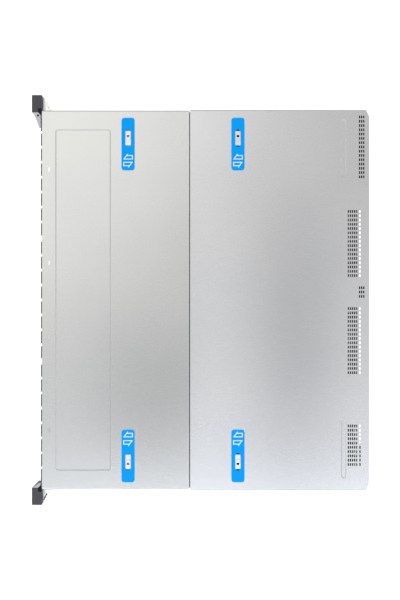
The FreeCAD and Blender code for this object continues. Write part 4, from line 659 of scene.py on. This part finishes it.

# Front cover: zinc-coated sheet with folded sides and one shallow embossed rectangle that stiffens it.
# Behind the rectangle on the right its colour is darkened in a soft round patch: painted shade. Four long
# rivet heads of polished nickel stand in a row behind its front edge.
SHADE_PATCH_X = 115.0
SHADE_PATCH_Y = -50.0
SHADE_PATCH_WIDE = 140.0
SHADE_PATCH_LONG = 130.0
front_sheet = zinc_coated_steel("zinc_coated_steel_front_cover", "#AFAFAD", "#ACACAB", 0.26, slope_shade=0.97)
tree = front_sheet.node_tree
metal = tree.nodes["Principled BSDF"]
flat_tone = metal.inputs["Base Color"].links[0].from_node
place = add_node(tree, "TexCoord")
shade_patch_place = add_node(tree, "Mapping",
               {"Location": (-SHADE_PATCH_X / SHADE_PATCH_WIDE, -SHADE_PATCH_Y / SHADE_PATCH_LONG, 0.0),
                "Scale": (1000 / SHADE_PATCH_WIDE, 1000 / SHADE_PATCH_LONG, 0.0)},
               {"Vector": (place, "Object")})
shade_patch = add_node(tree, "TexGradient", {}, {"Vector": (shade_patch_place, "Vector")}, gradient_type="SPHERICAL")
# Painted shade: the tone falls to 0.83 in the middle of the patch.
light = add_node(tree, "MapRange", {"To Min": 1.0, "To Max": 0.83}, {"Value": (shade_patch, "Fac")},
                 interpolation_type="SMOOTHSTEP")
tone = add_node(tree, "VectorMath", {}, {0: (flat_tone, "Vector"), 1: (light, "Result")},
                operation="MULTIPLY")
tree.links.new(tone.outputs["Vector"], metal.inputs["Base Color"])
dress(front_sheet, "front_cover")
dress(plated_metal("polished_nickel_stud", "#BBBBB9", "#B3B3B1", 1.0, 0.16), "front_cover_studs")

# Rear cover: the same sheet with stamped vents, two beads and cut rear corners. Its colour carries painted
# light and shade in one long wave from seam to rear edge, strongest right of the middle.
PAINTED_WAVE_Y = (15.0, 205.0)
PAINTED_WAVE_X = (-140.0, 260.0)
rear_sheet = zinc_coated_steel("zinc_coated_steel_rear_cover", "#AFAFAF", "#ACACAD", 0.26, slope_shade=0.96)
tree = rear_sheet.node_tree
metal = tree.nodes["Principled BSDF"]
flat_tone = metal.inputs["Base Color"].links[0].from_node
place = add_node(tree, "TexCoord")
axes = add_node(tree, "SeparateXYZ", {}, {"Vector": (place, "Object")})
along = add_node(tree, "MapRange",
                 {"From Min": PAINTED_WAVE_Y[0] * MM, "From Max": PAINTED_WAVE_Y[1] * MM, "To Max": 2 * math.pi},
                 {"Value": (axes, "Y")}, clamp=False)
painted_wave = add_node(tree, "Math", {}, {0: (along, "Result")}, operation="COSINE")
side = add_node(tree, "MapRange", {"From Min": PAINTED_WAVE_X[0] * MM, "From Max": PAINTED_WAVE_X[1] * MM, "To Min": -1.0},
                {"Value": (axes, "X")})
edge = add_node(tree, "Math", {}, {0: (side, "Result"), 1: (side, "Result")}, operation="MULTIPLY")
strength = add_node(tree, "MapRange", {"To Min": 0.12, "To Max": 0.0}, {"Value": (edge, "Value")})
# Painted light and shade: the tone is raised and lowered in one long wave along the cover.
light = add_node(tree, "Math", {2: 1.06}, {0: (painted_wave, "Value"), 1: (strength, "Result")},
                 operation="MULTIPLY_ADD")
tone = add_node(tree, "VectorMath", {}, {0: (flat_tone, "Vector"), 1: (light, "Value")},
                operation="MULTIPLY")
tree.links.new(tone.outputs["Vector"], metal.inputs["Base Color"])
dress(rear_sheet, "rear_cover")

# Labels: bright blue polyester film with a satin print, glued round each finger slot. Two white outline
# arrows, one to the front and one to the rear, show which way the cover moves.
blue_film, tree = start_material("printed_polyester_film")
place = add_node(tree, "TexCoord")
# The grain of the print is about 0.1 mm; it is drawn 1.5 mm wide so that it shows, and that of the ink 0.8.
print_grain = add_node(tree, "TexNoise", {"Scale": 1000 / 1.5, "Detail": 2.0},
                       {"Vector": (place, "Object")})
tone = add_node(tree, "Mix", {6: linear("#04A0F8"), 7: linear("#08A6FB")}, {0: (print_grain, "Fac")},
                data_type="RGBA")
film = add_node(tree, "BsdfPrincipled", {"Roughness": 0.42, "IOR": 1.45, "Specular IOR Level": 0.05},
                {"Base Color": (tone, 2)})
add_node(tree, "OutputMaterial", {}, {"Surface": (film, "BSDF")})
dress(blue_film, "front_cover_labels", "rear_cover_labels")
white_ink, tree = start_material("white_screen_print")
place = add_node(tree, "TexCoord")
ink_grain = add_node(tree, "TexNoise", {"Scale": 1000 / 0.8}, {"Vector": (place, "Object")})
tone = add_node(tree, "Mix", {6: linear("#FFFFFF"), 7: linear("#F1F4F6")}, {0: (ink_grain, "Fac")},
                data_type="RGBA")
ink = add_node(tree, "BsdfPrincipled", {"Roughness": 0.6, "IOR": 1.45}, {"Base Color": (tone, 2)})
add_node(tree, "OutputMaterial", {}, {"Surface": (ink, "BSDF")})
LABEL_TOP = 87.7
FRONT_LABEL_Y = -85.2
REAR_LABEL_Y = 44.05
INK_HIGH = 0.03
ARROW_LINE = 0.9
ARROW = ((-5.6, -3.5), (-0.4, 3.5), (-0.4, 1.5), (5.6, 1.5), (5.6, -3.5))
ARROW_PAIRS = ((-168.9, -159.0), (157.9, 168.5))


def offset_outline(points, inward):
    """The same closed outline moved inward by a distance, corner by corner."""
    moved = []
    for before, here, after in zip(points[-1:] + points[:-1], points, points[1:] + points[:1]):
        a = (here - before).normalized()
        b = (after - here).normalized()
        normal_a = Vector((-a.y, a.x))
        normal_b = Vector((-b.y, b.x))
        split = (normal_a + normal_b).normalized()
        moved.append(here + split * inward / max(split.dot(normal_a), 0.35))
    return moved


for body, y, label in (("front_cover_body", FRONT_LABEL_Y, "front_arrows"),
                       ("rear_cover_body", REAR_LABEL_Y, "rear_arrows")):
    bm = bmesh.new()
    for pair in ARROW_PAIRS:
        for x, turn in zip(pair, (1, -1)):
            outer = [Vector((turn * along, turn * -across)) for along, across in ARROW]
            inner = offset_outline(outer, ARROW_LINE)
            loops = []
            for outline, lift in ((outer, 0.0), (outer, INK_HIGH), (inner, INK_HIGH), (inner, 0.0)):
                z = LABEL_TOP + lift
                loops.append([bm.verts.new(Vector((x + p.y, y + p.x, z)) * MM) for p in outline])
            for near, far in zip(loops, loops[1:]):
                for step in range(len(near)):
                    after = (step + 1) % len(near)
                    bm.faces.new((near[step], near[after], far[after], far[step]))
    finish_piece(bm, label, [white_ink], body)

# Latches: nickel-plated tongues under the covers; a finger in the slot pulls the tongue inward. The
# plating is a warm grey, a little rubbed.
tongue_nickel = plated_metal("nickel_plated_tongue", "#D0CAC7", "#AEA7A3", 3.0, 0.3)
dress(tongue_nickel, "latch_front_left", "latch_front_right", "latch_rear_left", "latch_rear_right")

# Studio: white floor, even white surroundings and four soft boxes. The floor is white to the camera and
# in reflections, and still takes the soft shadow of the server.
FLOOR_HALF = 6.0


def seen_rays(tree):
    """1 for a ray that the eye sees, straight or in a reflection or through something clear."""
    paths = add_node(tree, "LightPath")
    seen = add_node(tree, "Math", {}, {0: (paths, "Is Camera Ray"), 1: (paths, "Is Glossy Ray")},
                    operation="MAXIMUM")
    return add_node(tree, "Math", {}, {0: (seen, "Value"), 1: (paths, "Is Transmission Ray")},
                    operation="MAXIMUM")


floor_paint, tree = start_material("white_studio_floor")
seen = seen_rays(tree)
glow = add_node(tree, "Math", {1: 0.8}, {0: (seen, "Value")}, operation="MULTIPLY")
matt = add_node(tree, "BsdfDiffuse", {"Color": linear("#EFEFEF")})
lift = add_node(tree, "Emission", {"Color": linear("#FFFFFF")}, {"Strength": (glow, "Value")})
both = add_node(tree, "AddShader", {}, {0: (matt, "BSDF"), 1: (lift, "Emission")})
add_node(tree, "OutputMaterial", {}, {"Surface": (both, "Shader")})
bm = bmesh.new()
bmesh.ops.create_grid(bm, x_segments=1, y_segments=1, size=FLOOR_HALF)
floor_mesh = bpy.data.meshes.new("studio_floor")
bm.to_mesh(floor_mesh)
bm.free()
floor_mesh.materials.append(floor_paint)
studio_floor = bpy.data.objects.new("studio_floor", floor_mesh)
studio_floor.location.z = cad_low[2]
bpy.context.scene.collection.objects.link(studio_floor)
studio_floor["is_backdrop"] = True

world = bpy.data.worlds.new("studio")
bpy.context.scene.world = world
world.use_nodes = True
tree = world.node_tree
tree.nodes.clear()
seen = seen_rays(tree)
level = add_node(tree, "MapRange", {"To Min": 0.5, "To Max": 1.0}, {"Value": (seen, "Value")})
sky = add_node(tree, "Background", {"Color": linear("#FFFFFF")}, {"Strength": (level, "Result")})
add_node(tree, "OutputWorld", {}, {"Surface": (sky, "Background")})

for name, spot, wide, high, watts, tint in (
        ("soft_box_front_left", (-0.42, -0.38, 1.7), 0.8, 0.8, 2.2, "#FFFEFB"),
        ("soft_box_right", (0.85, 0.02, 1.7), 1.5, 0.7, 13.5, "#E8F2FF"),
        ("soft_box_rear", (-0.3, 1.6, 1.6), 1.2, 1.2, 5.0, "#FFFFFF"),
        ("soft_box_front", (0.2, -1.7, 1.5), 1.2, 1.2, 5.0, "#FFFFFF")):
    lamp = bpy.data.lights.new(name, "AREA")
    lamp.shape = "RECTANGLE"
    lamp.size = wide
    lamp.size_y = high
    lamp.energy = watts
    lamp.color = linear(tint)[:3]
    holder = bpy.data.objects.new(name, lamp)
    holder.location = spot
    holder.rotation_euler = (-Vector(spot)).to_track_quat("-Z", "Y").to_euler()
    bpy.context.scene.collection.objects.link(holder)

# Camera: straight above the covers, with the front of the server to the left. The lens is long, as in a
# catalogue picture, so that the sides hardly show.
FRAME_HIGH = 0.7059
CAMERA_HIGH = 2.2
COVER_TOP = 0.0875
VIEW_MIDDLE_Y = -0.0006
camera = bpy.data.cameras.new("overhead_camera")
camera.sensor_width = 36.0
camera.lens = 36.0 * CAMERA_HIGH / FRAME_HIGH
camera_holder = bpy.data.objects.new("overhead_camera", camera)
camera_holder.location = (0.0, VIEW_MIDDLE_Y, COVER_TOP + CAMERA_HIGH)
camera_holder.rotation_euler = (0.0, 0.0, math.pi / 2)
bpy.context.scene.collection.objects.link(camera_holder)
bpy.context.scene.camera = camera_holder
bpy.context.scene.view_settings.view_transform = "Standard"

low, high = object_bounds()
